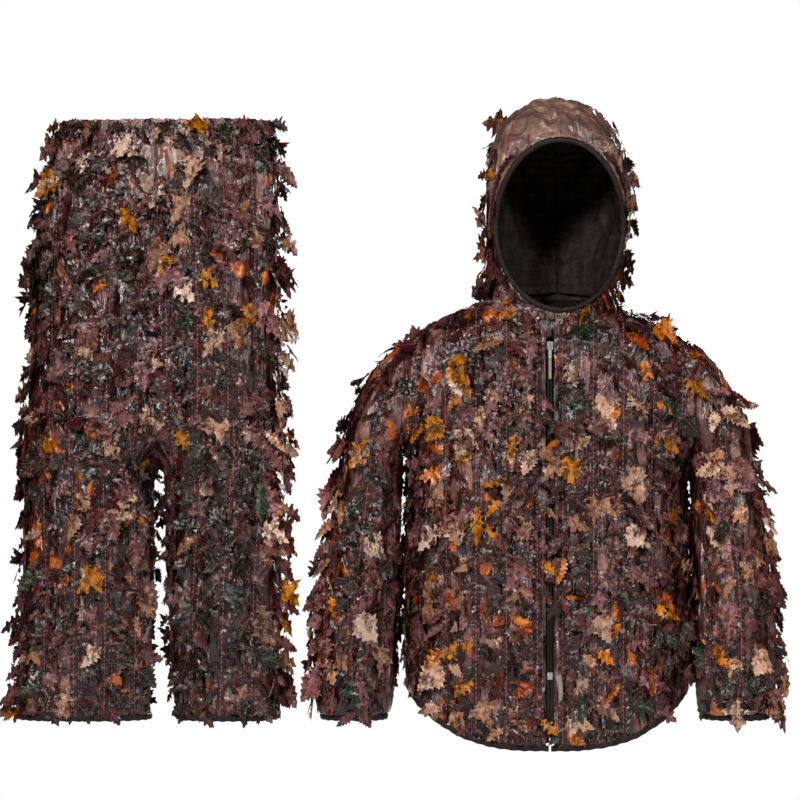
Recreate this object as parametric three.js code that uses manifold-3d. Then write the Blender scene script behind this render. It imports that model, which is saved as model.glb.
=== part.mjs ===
// Leafy ghillie suit: a hooded, zipped jacket and elastic-waist trousers, side by side as they hang.
// Millimetres, +Z up. +X is the wearer's left, -Y is the front. The origin is the hanging point of the
// jacket's neck loop. Every panel is a thin shell, and hem, cuffs, face, waist and legs are open.
import * as THREE from 'three';
import { mergeVertices } from 'three/addons/utils/BufferGeometryUtils.js';
import Module from 'manifold-3d';

const wasm = await Module();
wasm.setup();

// ---- Driving dimensions ----------------------------------------------------------------------------
const WALL = 3.5; // one layer of cloth together with the leaf rows sewn on it
const GAP = 0.35; // clearance between neighbouring pieces
const REACH = 1600; // larger than the whole suit, for cutting solids
const SQUARENESS = 2.3; // power of the superellipse that every level section follows

const FRONT = -120; // the straight front line that the zip follows
const SIDE_SEAM_Y = -6;
const ARMHOLE_X = 240; // each sleeve begins outside this upright plane and swings along it
const SLEEVE_SPREAD = { left: -8, right: 0 }; // how much further out each cuff hangs
const CUFF_TOP = -684;
const BINDING = 13; // width of the bound edges
const HEM = { low: -745, rise: 100 }; // curved shirt-tail hem: middle, and its climb to the sides

const HOOD_LEAN = 18; // the middle of the hood stands this far towards +X
const FACE = { x: 18, z: 120, halfWidth: 105.5, halfHeight: 139.5, radius: 4.6 };
const COLLAR_HEIGHT = 14;
const LOOP = { y: 86, z: 12, halfWidth: 26, height: 18, strap: 4 }; // y and z are the hanging point

const ZIP_FACE = FRONT + 0.7; // the front panels are flat here
const ZIP = { top: -69, bottom: -612, tapeBottom: -728, panelEdge: 6.5, split: 0.6, teeth: 3.2, tape: 17 };
const SLIDER = { z: -78, height: 13, halfWidth: 5, halfSpan: 4.2 };
const PULL = { y: ZIP_FACE - 2.75, half: 0.45, halfWidth: 2.6, eye: 7, metal: 20, strip: 34 };

const WAIST = { top: 297, band: 36 };
const HIP = { z: -225, radius: 98 }; // pivot of the legs, in the middle of the round seam around the hips
const CROTCH = { x: -646, z: -292 }; // the legs part on this line
const LEG_BOTTOM = -697;

// ---- Materials -------------------------------------------------------------------------------------
const finish = (color, roughness, metalness = 0) => new THREE.MeshStandardMaterial({ color, roughness, metalness });
const camoCloth = () => finish(0x5a4038, 0.45);
const leafCloth = () => finish(0x7c5f50, 0.5);
const darkBinding = () => finish(0x15110f, 0.7);
const tapeCloth = () => finish(0x1c1816, 0.8);
const zipMetal = () => finish(0xb9b9b5, 0.3, 1);
const paleWebbing = () => finish(0xa79f92, 0.75);
const lining = () => finish(0x1d2a22, 0.6);

// ---- Sections --------------------------------------------------------------------------------------
// A profile is a stack of level sections [z, half width, half depth, middle y, middle x], from low to high.
const fromFront = (half, front = FRONT) => [half, front + half];
const fromEdges = (outer, inner) => [(outer - inner) / 2, (outer + inner) / 2];

const TORSO = [
  [-760, 230, ...fromFront(124), 0],
  [-600, 232, ...fromFront(121), 0],
  [-440, 232, ...fromFront(119), 0],
  [-262, 229, ...fromFront(118), 0],
  [-235, 240, ...fromFront(116), 0],
  [-190, 276, ...fromFront(113), 0],
  [-155, 300, ...fromFront(110), 0],
  [-125, 293, ...fromFront(109), 0],
  [-92, 263, ...fromFront(108), 0],
  [-66, 230, ...fromFront(106), 0],
  [-58, 218, ...fromFront(104, -116.5), 0],
  [-25, 155, ...fromFront(94, -100), 0],
  [0, 107, ...fromFront(86, -88), 3],
  [20, 90, ...fromFront(70, -70), 6],
];

const HOOD = [
  [-90, 102, ...fromFront(92, -116.8), 0],
  [-58, 104, ...fromFront(95, -116.8), 1],
  [-25, 105, ...fromFront(95, -114), 3],
  [20, 106, ...fromFront(98, -113), 6],
  [80, 113, ...fromFront(112, -119), 14],
  [150, 118, ...fromFront(122, -124), HOOD_LEAN],
  [210, 117, ...fromFront(121, -121), HOOD_LEAN],
  [258, 108, ...fromFront(112, -107), HOOD_LEAN],
  [292, 90, ...fromFront(94, -83), HOOD_LEAN],
  [316, 64, ...fromFront(70, -53), HOOD_LEAN],
  [330, 32, ...fromFront(38, -19), HOOD_LEAN],
  [334, 8, ...fromFront(9, 12), HOOD_LEAN],
];
const HOOD_DOME = 210; // above this level the hood closes over the head

const mirrorX = (profile) => profile.map(([z, a, b, y, x]) => [z, a, b, y, -x]);

// A sleeve on the +X side: [z, outer edge, inner edge, half depth], swung out a little by its spread.
function sleeveProfile(spread) {
  const rows = [
    [-702, 372, 272, 47], [-684, 380, 262, 53], [-640, 386, 253, 60], [-560, 384, 250, 64],
    [-460, 374, 249, 67], [-360, 358, 248, 70], [-300, 348, 246, 73], [-262, 340, 243, 77],
    [-235, 335, 228, 80], [-200, 328, 205, 84], [-165, 312, 200, 80], [-140, 290, 205, 66],
    [-115, 262, 215, 40],
  ];
  return rows.map(([z, outer, inner, depth]) => {
    const [half, middle] = fromEdges(outer, inner);
    const drop = THREE.MathUtils.clamp((-262 - z) / 440, 0, 1);
    return [z, half, depth, -4, middle + spread * drop];
  });
}
const SLEEVES = {
  left: { side: 1, profile: sleeveProfile(SLEEVE_SPREAD.left) },
  right: { side: -1, profile: mirrorX(sleeveProfile(SLEEVE_SPREAD.right)) },
};

const RISE = [
  [CROTCH.z, 211, 80, 0, -654],
  [-225, 210, 86, 0, -653],
  [-150, 209, 90, 0, -652],
  [0, 205, 90, 0, -650],
  [150, 200, 84, 0, -646],
  [220, 192, 78, 0, -640],
  [262, 180, 70, 0, -634],
  [WAIST.top, 174, 64, 0, -632],
];

// A trouser leg: [z, edge towards +X, edge towards -X, half depth].
const legProfile = (rows) => rows.map(([z, outer, inner, depth]) => {
  const [half, middle] = fromEdges(outer, inner);
  return [z, half, depth, 0, middle];
});
const LEGS = {
  left: {
    side: 1,
    profile: legProfile([
      [LEG_BOTTOM, -448, -617, 58], [-600, -448, -624, 62], [-450, -447, -632, 68], [-300, -443, -636, 77],
      [-200, -447, -638, 82],
    ]),
  },
  right: {
    side: -1,
    profile: legProfile([
      [LEG_BOTTOM, -660, -881, 58], [-600, -658, -877, 62], [-450, -656, -870, 68], [-300, -656, -866, 77],
      [-200, -658, -862, 82],
    ]),
  },
};

const SIDES = { torso: 24, sleeve: 16, hood: 22, rise: 22, leg: 16 };

// Grow a profile sideways. low carries its lowest section down, and a dome keeps the wall over the top.
function grow(profile, offset, { low = 0, domeFrom = Infinity } = {}) {
  return profile.map(([z, a, b, y, x], k) => {
    const rise = z > domeFrom ? offset : 0;
    return [z + rise - (k === 0 ? low : 0), a + offset, b + offset, y, x];
  });
}

function sectionAt(profile, z) {
  const last = profile.length - 1;
  const level = THREE.MathUtils.clamp(z, profile[0][0], profile[last][0]);
  const upper = Math.max(1, profile.findIndex((section) => section[0] >= level));
  const share = THREE.MathUtils.inverseLerp(profile[upper - 1][0], profile[upper][0], level);
  return profile[upper].map((value, k) => THREE.MathUtils.lerp(profile[upper - 1][k], value, share));
}

function sectionPoint([z, a, b, y, x], angle) {
  const power = (value) => Math.sign(value) * Math.abs(value) ** (2 / SQUARENESS);
  return new THREE.Vector3(x + a * power(Math.cos(angle)), y + b * power(Math.sin(angle)), z);
}

// The point of a section at a share of its half width, on the front (-1) or the back (1), and its normal.
function surfacePoint([z, a, b, y, x], across, face) {
  const along = face * (1 - Math.abs(across) ** SQUARENESS) ** (1 / SQUARENESS);
  const slope = (value) => Math.sign(value) * Math.abs(value) ** (SQUARENESS - 1);
  const normal = new THREE.Vector3(slope(across) / a, slope(along) / b, 0).normalize();
  return { point: new THREE.Vector3(x + a * across, y + b * along, z), normal };
}

// ---- Solids ----------------------------------------------------------------------------------------
function indexedGeometry(positions, index) {
  const geometry = new THREE.BufferGeometry();
  geometry.setAttribute('position', new THREE.BufferAttribute(new Float32Array(positions), 3));
  geometry.setIndex(index);
  return geometry;
}

function toSolid(geometry) {
  const bare = geometry.clone();
  bare.deleteAttribute('normal');
  bare.deleteAttribute('uv');
  const merged = mergeVertices(bare, 1e-4);
  return new wasm.Manifold(new wasm.Mesh({
    numProp: 3,
    vertProperties: new Float32Array(merged.attributes.position.array),
    triVerts: new Uint32Array(merged.index.array),
  }));
}

// Closed solid through rings of points; open ends are capped, or the last ring joins the first.
function skin(rings, closed = false) {
  const sides = rings[0].length;
  const positions = rings.flat().flatMap((point) => point.toArray());
  const index = [];
  const spans = closed ? rings.length : rings.length - 1;
  for (let ring = 0; ring < spans; ring += 1) {
    const base = ring * sides;
    const above = ((ring + 1) % rings.length) * sides;
    for (let k = 0; k < sides; k += 1) {
      const next = (k + 1) % sides;
      index.push(base + k, base + next, above + next, base + k, above + next, above + k);
    }
  }
  if (!closed) {
    const top = (rings.length - 1) * sides;
    for (let k = 1; k < sides - 1; k += 1) {
      index.push(0, k + 1, k, top, top + k, top + k + 1);
    }
  }
  return toSolid(indexedGeometry(positions, index));
}

// No ring point lies on the middle line, so the front is flat where the zip runs.
function loft(profile, sides) {
  const angles = Array.from({ length: sides }, (_, k) => ((k + 0.5) / sides) * 2 * Math.PI);
  return skin(profile.map((section) => angles.map((angle) => sectionPoint(section, angle))));
}

function box(low, high) {
  const size = high.map((value, k) => value - low[k]);
  const geometry = new THREE.BoxGeometry(...size);
  geometry.translate(...low.map((value, k) => value + size[k] / 2));
  return toSolid(geometry);
}

// A prism along Y over an outline in the X-Z plane.
function prism(points) {
  const shape = new THREE.Shape(points.map(([x, z]) => new THREE.Vector2(x, z)));
  const geometry = new THREE.ExtrudeGeometry(shape, { depth: 2 * REACH, bevelEnabled: false });
  geometry.rotateX(Math.PI / 2);
  geometry.translate(0, REACH, 0);
  return toSolid(geometry);
}

// A cylinder along X, centred on y = 0.
function rod(radius, z) {
  const geometry = new THREE.CylinderGeometry(radius, radius, 2 * REACH, 36);
  geometry.rotateZ(Math.PI / 2);
  geometry.translate(0, 0, z);
  return toSolid(geometry);
}

const ALL_LOW = [-REACH, -REACH, -REACH];
const ALL_HIGH = [REACH, REACH, REACH];
const below = (z) => box(ALL_LOW, [REACH, REACH, z]);
const above = (z) => box([-REACH, -REACH, z], ALL_HIGH);
const slab = (low, high) => box([-REACH, -REACH, low], [REACH, REACH, high]);
const inFrontOf = (y) => box(ALL_LOW, [REACH, y, REACH]);
const behind = (y) => box([-REACH, y, -REACH], ALL_HIGH);
const beyond = (x, side) => (side > 0 ? box([x, -REACH, -REACH], ALL_HIGH) : box(ALL_LOW, [x, REACH, REACH]));

// ---- The group -------------------------------------------------------------------------------------
const suit = new THREE.Group();
suit.position.set(0, -LOOP.y, -LOOP.z);

// Adds one named piece. A cut can leave crumbs at an edge, so only the main body is kept.
function addPiece(name, solid, material) {
  const [main] = solid.decompose().sort((a, b) => b.volume() - a.volume());
  const mesh = main.simplify(0.06).getMesh();
  const piece = new THREE.Mesh(indexedGeometry(mesh.vertProperties, [...mesh.triVerts]), material);
  piece.geometry.computeVertexNormals();
  piece.name = name;
  suit.add(piece);
}

// ---- Leaf rows -------------------------------------------------------------------------------------
// A row is one band of cloth sewn down a panel. Its edges are cut into leaves that droop and stand off.
const LEAF_ROW = { step: 46, tip: 0.86, root: 9, wide: 37, narrow: 25, lift: 8, thickness: 2.2 };

function leafRow({ profile, across, face, top, bottom }) {
  const leaves = Math.floor((top - bottom) / LEAF_ROW.step);
  const sections = [];
  for (let leaf = 0; leaf < leaves; leaf += 1) {
    const root = top - leaf * LEAF_ROW.step;
    const widths = leaf % 2 ? [LEAF_ROW.wide, LEAF_ROW.narrow] : [LEAF_ROW.narrow, LEAF_ROW.wide];
    sections.push({ z: root, widths: [LEAF_ROW.root, LEAF_ROW.root], lift: 1 });
    sections.push({ z: root - LEAF_ROW.step * LEAF_ROW.tip, widths, lift: LEAF_ROW.lift });
  }
  const rings = sections.map(({ z, widths: [before, after], lift }) => {
    const { point, normal } = surfacePoint(sectionAt(profile, z), across, face);
    const tangent = new THREE.Vector3(-normal.y, normal.x, 0);
    const corner = (sideways, outwards) => point.clone()
      .addScaledVector(tangent, sideways)
      .addScaledVector(normal, outwards);
    const outer = lift + LEAF_ROW.thickness;
    return [corner(after, lift), corner(after, outer), corner(-before, outer), corner(-before, lift)];
  });
  return skin(rings);
}

// ---- Jacket ----------------------------------------------------------------------------------------
const SHOULDER_TOP = -160; // above this level the inside of the shoulder keeps a full wall
const torsoForm = (offset, low = 0) => loft(grow(TORSO, offset, { low, domeFrom: SHOULDER_TOP }), SIDES.torso);
const sleeveForm = (name, offset, low = 0) => loft(grow(SLEEVES[name].profile, offset, { low }), SIDES.sleeve);
const hoodForm = (offset, low = 0) => loft(grow(HOOD, offset, { low, domeFrom: HOOD_DOME }), SIDES.hood);
const jacketForm = (offset, low = 0) => torsoForm(offset, low)
  .add(sleeveForm('left', offset, low))
  .add(sleeveForm('right', offset, low));

const jacketShell = jacketForm(0).subtract(jacketForm(-WALL, 30));
const jacketClearance = jacketForm(GAP, 5);

// The region of one sleeve, a clearance outside the plane of its armhole.
const sleeveRegion = (side, clearance) => beyond(side * (ARMHOLE_X + clearance), side);

// Everything below the curved hem line, raised by some distance.
function belowHem(raise) {
  const steps = 12;
  const line = Array.from({ length: steps + 1 }, (_, k) => {
    const share = 1 - (2 * k) / steps;
    return [share * ARMHOLE_X, HEM.low + raise + HEM.rise * Math.abs(share) ** 3];
  });
  return prism([[-ARMHOLE_X, -REACH], [ARMHOLE_X, -REACH], ...line]);
}

function addTorso() {
  const neckHole = hoodForm(GAP).intersect(above(-60));
  const torso = jacketShell
    .subtract(sleeveRegion(1, 0))
    .subtract(sleeveRegion(-1, 0))
    .subtract(neckHole)
    .subtract(belowHem(BINDING + GAP));
  const fronts = torso.intersect(inFrontOf(SIDE_SEAM_Y - GAP / 2));
  addPiece('jacket_front_left', fronts.intersect(beyond(ZIP.panelEdge, 1)), camoCloth());
  addPiece('jacket_front_right', fronts.intersect(beyond(-ZIP.panelEdge, -1)), camoCloth());
  addPiece('jacket_back', torso.intersect(behind(SIDE_SEAM_Y + GAP / 2)), camoCloth());

  const frontOpening = box([-ZIP.panelEdge, -REACH, -REACH], [ZIP.panelEdge, SIDE_SEAM_Y, REACH]);
  const hem = torsoForm(1).subtract(torsoForm(-WALL - 1, 30))
    .intersect(belowHem(BINDING))
    .subtract(belowHem(0))
    .subtract(frontOpening);
  addPiece('jacket_hem_binding', hem, darkBinding());
}

function addSleeves() {
  for (const [name, { side }] of Object.entries(SLEEVES)) {
    const sleeve = jacketShell.intersect(sleeveRegion(side, GAP)).intersect(above(CUFF_TOP + GAP));
    addPiece(`sleeve_${name}`, sleeve, camoCloth());
    const cuff = sleeveForm(name, 1).subtract(sleeveForm(name, -WALL - 1, 30)).intersect(below(CUFF_TOP));
    addPiece(`cuff_binding_${name}`, cuff, darkBinding());
  }
}

// The elastic edge of the face opening: a round binding that follows an oval on the hood's surface.
function faceBinding(radius) {
  const turns = 32;
  const sides = 6;
  const middle = new THREE.Vector3(FACE.x, 0, FACE.z);
  const points = Array.from({ length: turns }, (_, k) => {
    const angle = (k / turns) * 2 * Math.PI;
    const x = FACE.x + FACE.halfWidth * Math.cos(angle);
    const z = FACE.z + FACE.halfHeight * Math.sin(angle);
    const section = sectionAt(grow(HOOD, -WALL / 2), z);
    const across = THREE.MathUtils.clamp((x - section[4]) / section[1], -1, 1);
    return surfacePoint(section, across, -1).point;
  });
  const rings = points.map((point, k) => {
    const tangent = points[(k + 1) % turns].clone().sub(points[(k + turns - 1) % turns]).normalize();
    const outward = point.clone().sub(middle).setY(0);
    outward.addScaledVector(tangent, -outward.dot(tangent)).normalize();
    const across = new THREE.Vector3().crossVectors(tangent, outward);
    return Array.from({ length: sides }, (_, s) => {
      const turn = (s / sides) * 2 * Math.PI;
      return point.clone()
        .addScaledVector(outward, radius * Math.cos(turn))
        .addScaledVector(across, radius * Math.sin(turn));
    });
  });
  return skin(rings, true);
}

function addHood() {
  const turns = 32;
  const oval = Array.from({ length: turns }, (_, k) => {
    const angle = (k / turns) * 2 * Math.PI;
    return [FACE.x + FACE.halfWidth * Math.cos(angle), FACE.z + FACE.halfHeight * Math.sin(angle)];
  });
  const faceHole = prism(oval).intersect(inFrontOf(0)).add(faceBinding(FACE.radius + GAP));
  const hood = hoodForm(0).subtract(hoodForm(-WALL, 30))
    .subtract(jacketForm(0).translate(0, 0, COLLAR_HEIGHT + GAP))
    .subtract(faceHole);
  addPiece('hood_left', hood.intersect(beyond(HOOD_LEAN + GAP / 2, 1)), camoCloth());
  addPiece('hood_right', hood.intersect(beyond(HOOD_LEAN - GAP / 2, -1)), camoCloth());
  addPiece('face_binding', faceBinding(FACE.radius), darkBinding());

  const collar = hoodForm(0.8).subtract(hoodForm(-WALL - 0.8, 30))
    .intersect(jacketForm(0).translate(0, 0, COLLAR_HEIGHT))
    .subtract(jacketClearance);
  addPiece('neck_band', collar, camoCloth());

  // A short strap loop on the back of the collar.
  const strapLow = LOOP.z + LOOP.strap - LOOP.height;
  const inner = LOOP.halfWidth - LOOP.strap;
  const loop = box([-LOOP.halfWidth, LOOP.y - 1.3, strapLow], [LOOP.halfWidth, LOOP.y + 1.3, LOOP.z + LOOP.strap])
    .subtract(box([-inner, -REACH, strapLow + LOOP.strap], [inner, REACH, LOOP.z]))
    .subtract(hoodForm(0.8 + GAP))
    .subtract(jacketClearance);
  addPiece('hang_loop', loop, paleWebbing());

  // A dark triangular tab of lining cloth at the throat, beside the top of the zip.
  const tab = torsoForm(2.4).subtract(torsoForm(GAP))
    .intersect(prism([[22, -64], [62, -70], [86, -40], [70, -40]]))
    .intersect(inFrontOf(0))
    .subtract(hoodForm(0.8 + GAP));
  addPiece('throat_tab', tab, lining());
}

// ---- Zip -------------------------------------------------------------------------------------------
// The chain stays closed here: a thin web of the slider runs in the split between the two rows of teeth.
function addZip() {
  const F = ZIP_FACE;
  for (const [name, side] of [['left', 1], ['right', -1]]) {
    const strip = (inner, outer, yLow, yHigh, low, high) => {
      const [a, b] = [side * inner, side * outer].sort((p, q) => p - q);
      return box([a, yLow, low], [b, yHigh, high]);
    };
    addPiece(`zip_tape_${name}`, strip(ZIP.split, ZIP.tape, F + 4, F + 5.1, ZIP.tapeBottom, ZIP.top), tapeCloth());
    addPiece(`zip_teeth_${name}`, strip(ZIP.split, ZIP.teeth, F + 0.4, F + 3, ZIP.bottom, ZIP.top), zipMetal());
  }
  const retainer = box([-4.2, F + 0.2, ZIP.bottom - 12], [4.2, F + 3.4, ZIP.bottom - GAP]);
  addPiece('zip_retainer_box', retainer, zipMetal());

  const low = SLIDER.z - SLIDER.height / 2;
  const high = SLIDER.z + SLIDER.height / 2;
  const wide = SLIDER.halfWidth;
  const span = SLIDER.halfSpan;
  const bridge = box([-0.9, F - 5, SLIDER.z - span], [0.9, F - 1.5, SLIDER.z + span])
    .subtract(box([-2, F - 3.9, SLIDER.z - span + 1.2], [2, F - 1.6, SLIDER.z + span - 1.2]));
  const slider = box([-wide, F - 1.6, low], [wide, F + 0.1, high])
    .add(box([3.6, F, low], [wide, F + 3.4, high]))
    .add(box([-wide, F, low], [-3.6, F + 3.4, high]))
    .add(box([-0.27, F, high - 2.5], [0.27, F + 6, high]))
    .add(box([-wide, F + 5.5, low], [wide, F + 6.9, high]))
    .add(bridge);
  addPiece('zip_slider', slider, zipMetal());

  const { y, half, halfWidth, eye, metal, strip } = PULL;
  const pull = box([-halfWidth, y - half, SLIDER.z - metal], [halfWidth, y + half, SLIDER.z + half])
    .subtract(box([-1.3, y - 2, SLIDER.z - eye], [1.3, y + 2, SLIDER.z - half]));
  addPiece('zip_pull', pull, zipMetal());
  const tagTop = SLIDER.z - metal - GAP;
  addPiece('zip_pull_strip', box([-2.2, y - 0.7, tagTop - strip], [2.2, y + 0.7, tagTop]), paleWebbing());
}

// ---- Trousers --------------------------------------------------------------------------------------
const riseForm = (offset, low = 0) => loft(grow(RISE, offset, { low }), SIDES.rise);
const legForm = (name, offset, low = 0) => loft(grow(LEGS[name].profile, offset, { low }), SIDES.leg);
const trouserForm = (offset, riseLow, legLow) => riseForm(offset, riseLow)
  .add(legForm('left', offset, legLow))
  .add(legForm('right', offset, legLow));

// The legs turn around the hips, so each begins outside a round seam there.
const legRegion = (clearance) => below(HIP.z).subtract(rod(HIP.radius + clearance, HIP.z));

function addTrousers() {
  const openWaist = loft(grow(RISE, -WALL).slice(-2).map(([z, ...rest]) => [z + 5, ...rest]), SIDES.rise);
  const shell = trouserForm(0, 0, 0).subtract(trouserForm(-WALL, -WALL, 30)).subtract(openWaist);
  const bandBottom = WAIST.top - WAIST.band;
  const rise = shell.subtract(legRegion(0)).intersect(below(bandBottom));
  addPiece('trouser_rise_front', rise.intersect(inFrontOf(-GAP / 2)), camoCloth());
  addPiece('trouser_rise_back', rise.intersect(behind(GAP / 2)), camoCloth());

  const casing = riseForm(1.5)
    .subtract(loft(grow(RISE, -WALL - 1.5).map(([z, ...rest]) => [z + 5, ...rest]), SIDES.rise))
    .intersect(slab(bandBottom + GAP, WAIST.top));
  addPiece('waistband', casing, camoCloth());

  for (const [name, { side }] of Object.entries(LEGS)) {
    const leg = shell.intersect(legRegion(2.5 * GAP)).intersect(beyond(CROTCH.x + side * 2, side));
    const panels = leg.intersect(above(LEG_BOTTOM + BINDING + GAP));
    addPiece(`leg_${name}_front`, panels.intersect(inFrontOf(-GAP / 2)), camoCloth());
    addPiece(`leg_${name}_back`, panels.intersect(behind(GAP / 2)), camoCloth());
    const hem = legForm(name, 1).subtract(legForm(name, -WALL - 1, 30)).intersect(below(LEG_BOTTOM + BINDING));
    addPiece(`leg_hem_binding_${name}`, hem, darkBinding());
  }
}

// ---- Leaf rows on every panel ----------------------------------------------------------------------
// across is a share of the panel's half width; face is -1 on the front and 1 on the back.
function addLeafRows() {
  const trouserClearance = trouserForm(GAP, 0, 0);
  const hoodClearance = hoodForm(GAP);
  const everywhere = above(-REACH);
  const body = box([1 - ARMHOLE_X, -REACH, -REACH], [ARMHOLE_X - 1, REACH, REACH]);
  const rows = (label, profile, places, face, span, clearance, region = everywhere) => {
    places.forEach((across, k) => {
      const row = leafRow({ profile, across, face, top: span[0], bottom: span[1] });
      addPiece(`leaf_row_${label}_${k + 1}`, row.subtract(clearance).intersect(region), leafCloth());
    });
  };
  const frontSpan = [-92, -690];
  rows('front_left', TORSO, [0.2, 0.49, 0.78], -1, frontSpan, jacketClearance, body);
  rows('front_right', TORSO, [-0.2, -0.49, -0.78], -1, frontSpan, jacketClearance, body);
  rows('back', TORSO, [-0.72, -0.26, 0.26, 0.72], 1, [-70, -690], jacketClearance, body);
  rows('hood_back', HOOD, [-0.3, 0.3], 1, [300, 50], hoodClearance);
  rows('hood_side', HOOD, [-0.86, 0.86], 1, [285, 60], hoodClearance);
  for (const [name, { side, profile }] of Object.entries(SLEEVES)) {
    const region = sleeveRegion(side, 2);
    rows(`sleeve_${name}_front`, profile, [side * 0.4], -1, [-170, -680], jacketClearance, region);
    rows(`sleeve_${name}_back`, profile, [side * 0.4], 1, [-170, -680], jacketClearance, region);
  }
  rows('rise_front', RISE, [-0.5, 0.5], -1, [250, -150], trouserClearance);
  rows('rise_back', RISE, [-0.5, 0.5], 1, [250, -150], trouserClearance);
  for (const [name, { profile }] of Object.entries(LEGS)) {
    rows(`leg_${name}_front`, profile, [-0.45, 0.45], -1, [-300, -680], trouserClearance);
    rows(`leg_${name}_back`, profile, [0], 1, [-300, -680], trouserClearance);
  }
}

addTorso();
addSleeves();
addHood();
addZip();
addTrousers();
addLeafRows();

export default suit;
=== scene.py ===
"""Leafy ghillie suit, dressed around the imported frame. -Y is the front and +X the wearer's left.

Shapes are worked out in the suit's own millimetres, which SHIFT turns into the frame's metres.
"""
import math

import bmesh
import bpy
import numpy as np
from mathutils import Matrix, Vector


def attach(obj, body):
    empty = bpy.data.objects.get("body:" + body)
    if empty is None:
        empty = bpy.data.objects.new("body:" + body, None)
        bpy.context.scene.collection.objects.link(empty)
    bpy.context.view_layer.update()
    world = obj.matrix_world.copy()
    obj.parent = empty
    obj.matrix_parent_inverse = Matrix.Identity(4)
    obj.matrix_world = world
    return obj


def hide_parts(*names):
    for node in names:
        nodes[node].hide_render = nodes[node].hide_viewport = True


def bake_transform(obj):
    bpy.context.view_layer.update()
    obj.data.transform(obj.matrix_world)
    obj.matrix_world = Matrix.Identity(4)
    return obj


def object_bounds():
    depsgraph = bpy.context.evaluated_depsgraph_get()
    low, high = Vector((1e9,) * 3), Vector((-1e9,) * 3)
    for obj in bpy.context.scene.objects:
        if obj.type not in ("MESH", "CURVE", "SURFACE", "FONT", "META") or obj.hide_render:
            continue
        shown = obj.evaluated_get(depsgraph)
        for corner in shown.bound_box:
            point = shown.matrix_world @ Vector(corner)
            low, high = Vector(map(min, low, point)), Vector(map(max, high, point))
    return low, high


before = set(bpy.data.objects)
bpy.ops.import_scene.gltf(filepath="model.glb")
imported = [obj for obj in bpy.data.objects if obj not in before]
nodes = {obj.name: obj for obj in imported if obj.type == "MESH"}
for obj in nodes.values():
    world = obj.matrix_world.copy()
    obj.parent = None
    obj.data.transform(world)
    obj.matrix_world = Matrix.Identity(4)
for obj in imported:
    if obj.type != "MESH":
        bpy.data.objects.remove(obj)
cad_box = [list(corner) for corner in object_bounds()]

MM = 0.001
SHIFT = np.array([0, -86, -12]) * MM  # the hanging point of the neck loop is the frame's origin
POWER = 2.3  # of the superellipse that every level section follows

# ---- The suit's sections, as the frame has them: [z, half width, half depth, middle y, middle x] ----
FRONT = -120


def from_front(half, front=FRONT):
    return [half, front + half]


TORSO = [
    [-760, 232, *from_front(124), 0],
    [-600, 236, *from_front(121), 0],
    [-440, 236, *from_front(119), 0],
    [-262, 233, *from_front(118), 0],
    [-235, 240, *from_front(116), 0],
    [-190, 276, *from_front(113), 0],
    [-155, 300, *from_front(110), 0],
    [-125, 293, *from_front(109), 0],
    [-92, 263, *from_front(108), 0],
    [-66, 230, *from_front(106), 0],
    [-58, 218, *from_front(104, -116.5), 0],
    [-25, 155, *from_front(94, -100), 0],
    [0, 107, *from_front(86, -88), 3],
    [20, 90, *from_front(70, -70), 6],
]
HOOD_LEAN = 18
HOOD = [
    [-90, 102, *from_front(92, -116.8), 0],
    [-58, 104, *from_front(95, -116.8), 1],
    [-25, 105, *from_front(95, -114), 3],
    [20, 106, *from_front(98, -113), 6],
    [80, 113, *from_front(112, -119), 14],
    [150, 118, *from_front(122, -124), HOOD_LEAN],
    [210, 117, *from_front(121, -121), HOOD_LEAN],
    [258, 108, *from_front(112, -107), HOOD_LEAN],
    [292, 90, *from_front(94, -83), HOOD_LEAN],
    [316, 64, *from_front(70, -53), HOOD_LEAN],
    [330, 32, *from_front(38, -19), HOOD_LEAN],
    [334, 8, *from_front(9, 12), HOOD_LEAN],
]
SLEEVE_ROWS = [  # [z, outer edge, inner edge, half depth]
    [-702, 372, 272, 47], [-684, 380, 262, 53], [-640, 386, 253, 60], [-560, 384, 250, 64],
    [-460, 374, 246, 67], [-360, 358, 243, 70], [-300, 348, 241, 73], [-262, 340, 239, 77],
    [-235, 335, 228, 80], [-200, 328, 205, 84], [-165, 312, 200, 80], [-140, 290, 205, 66],
    [-115, 262, 215, 40],
]
RISE = [
    [-292, 211, 80, 0, -654],
    [-225, 210, 86, 0, -653],
    [-150, 209, 90, 0, -652],
    [0, 205, 90, 0, -650],
    [150, 200, 84, 0, -646],
    [220, 192, 78, 0, -640],
    [262, 180, 70, 0, -634],
    [297, 174, 64, 0, -632],
]
LEG_LEFT = [[-697, -448, -617, 58], [-600, -448, -624, 62], [-450, -447, -632, 68], [-300, -443, -636, 77],
            [-200, -447, -638, 82]]
LEG_RIGHT = [[-697, -660, -881, 58], [-600, -658, -877, 62], [-450, -656, -870, 68], [-300, -656, -866, 77],
             [-200, -658, -862, 82]]
SIDES = (("left", 1), ("right", -1))
ARMHOLE, ARMPIT = 240, -262  # the x of the armhole seam, and the z where a sleeve leaves the body
SEAM_Y = -6
CUFF = -684
SLEEVE_TOP, LEG_TOP, NECK_Z = -115, -200, -66
CROTCH_X, CROTCH_Z = -646, -292
WAIST_TOP, BAND = 297, 36
LEG_CLOTH_BOTTOM = -688
FACE_X, FACE_Z, FACE_W, FACE_H = 18, 120, 105.5, 139.5
ZIP_EDGE = 6.5
COLLAR = 14
SEAM_LAP = 1.8


def sleeve_profile(side, spread):
    """A sleeve's sections, swung outwards towards the cuff by its spread."""
    rows = []
    for z, outer, inner, depth in SLEEVE_ROWS:
        drop = min(max((ARMPIT - z) / 440, 0), 1)
        middle = (outer + inner) / 2 + spread * drop
        rows.append([z, (outer - inner) / 2, depth, -4, side * middle])
    return rows


def leg_profile(rows):
    return [[z, (a - b) / 2, depth, 0, (a + b) / 2] for z, a, b, depth in rows]


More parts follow.
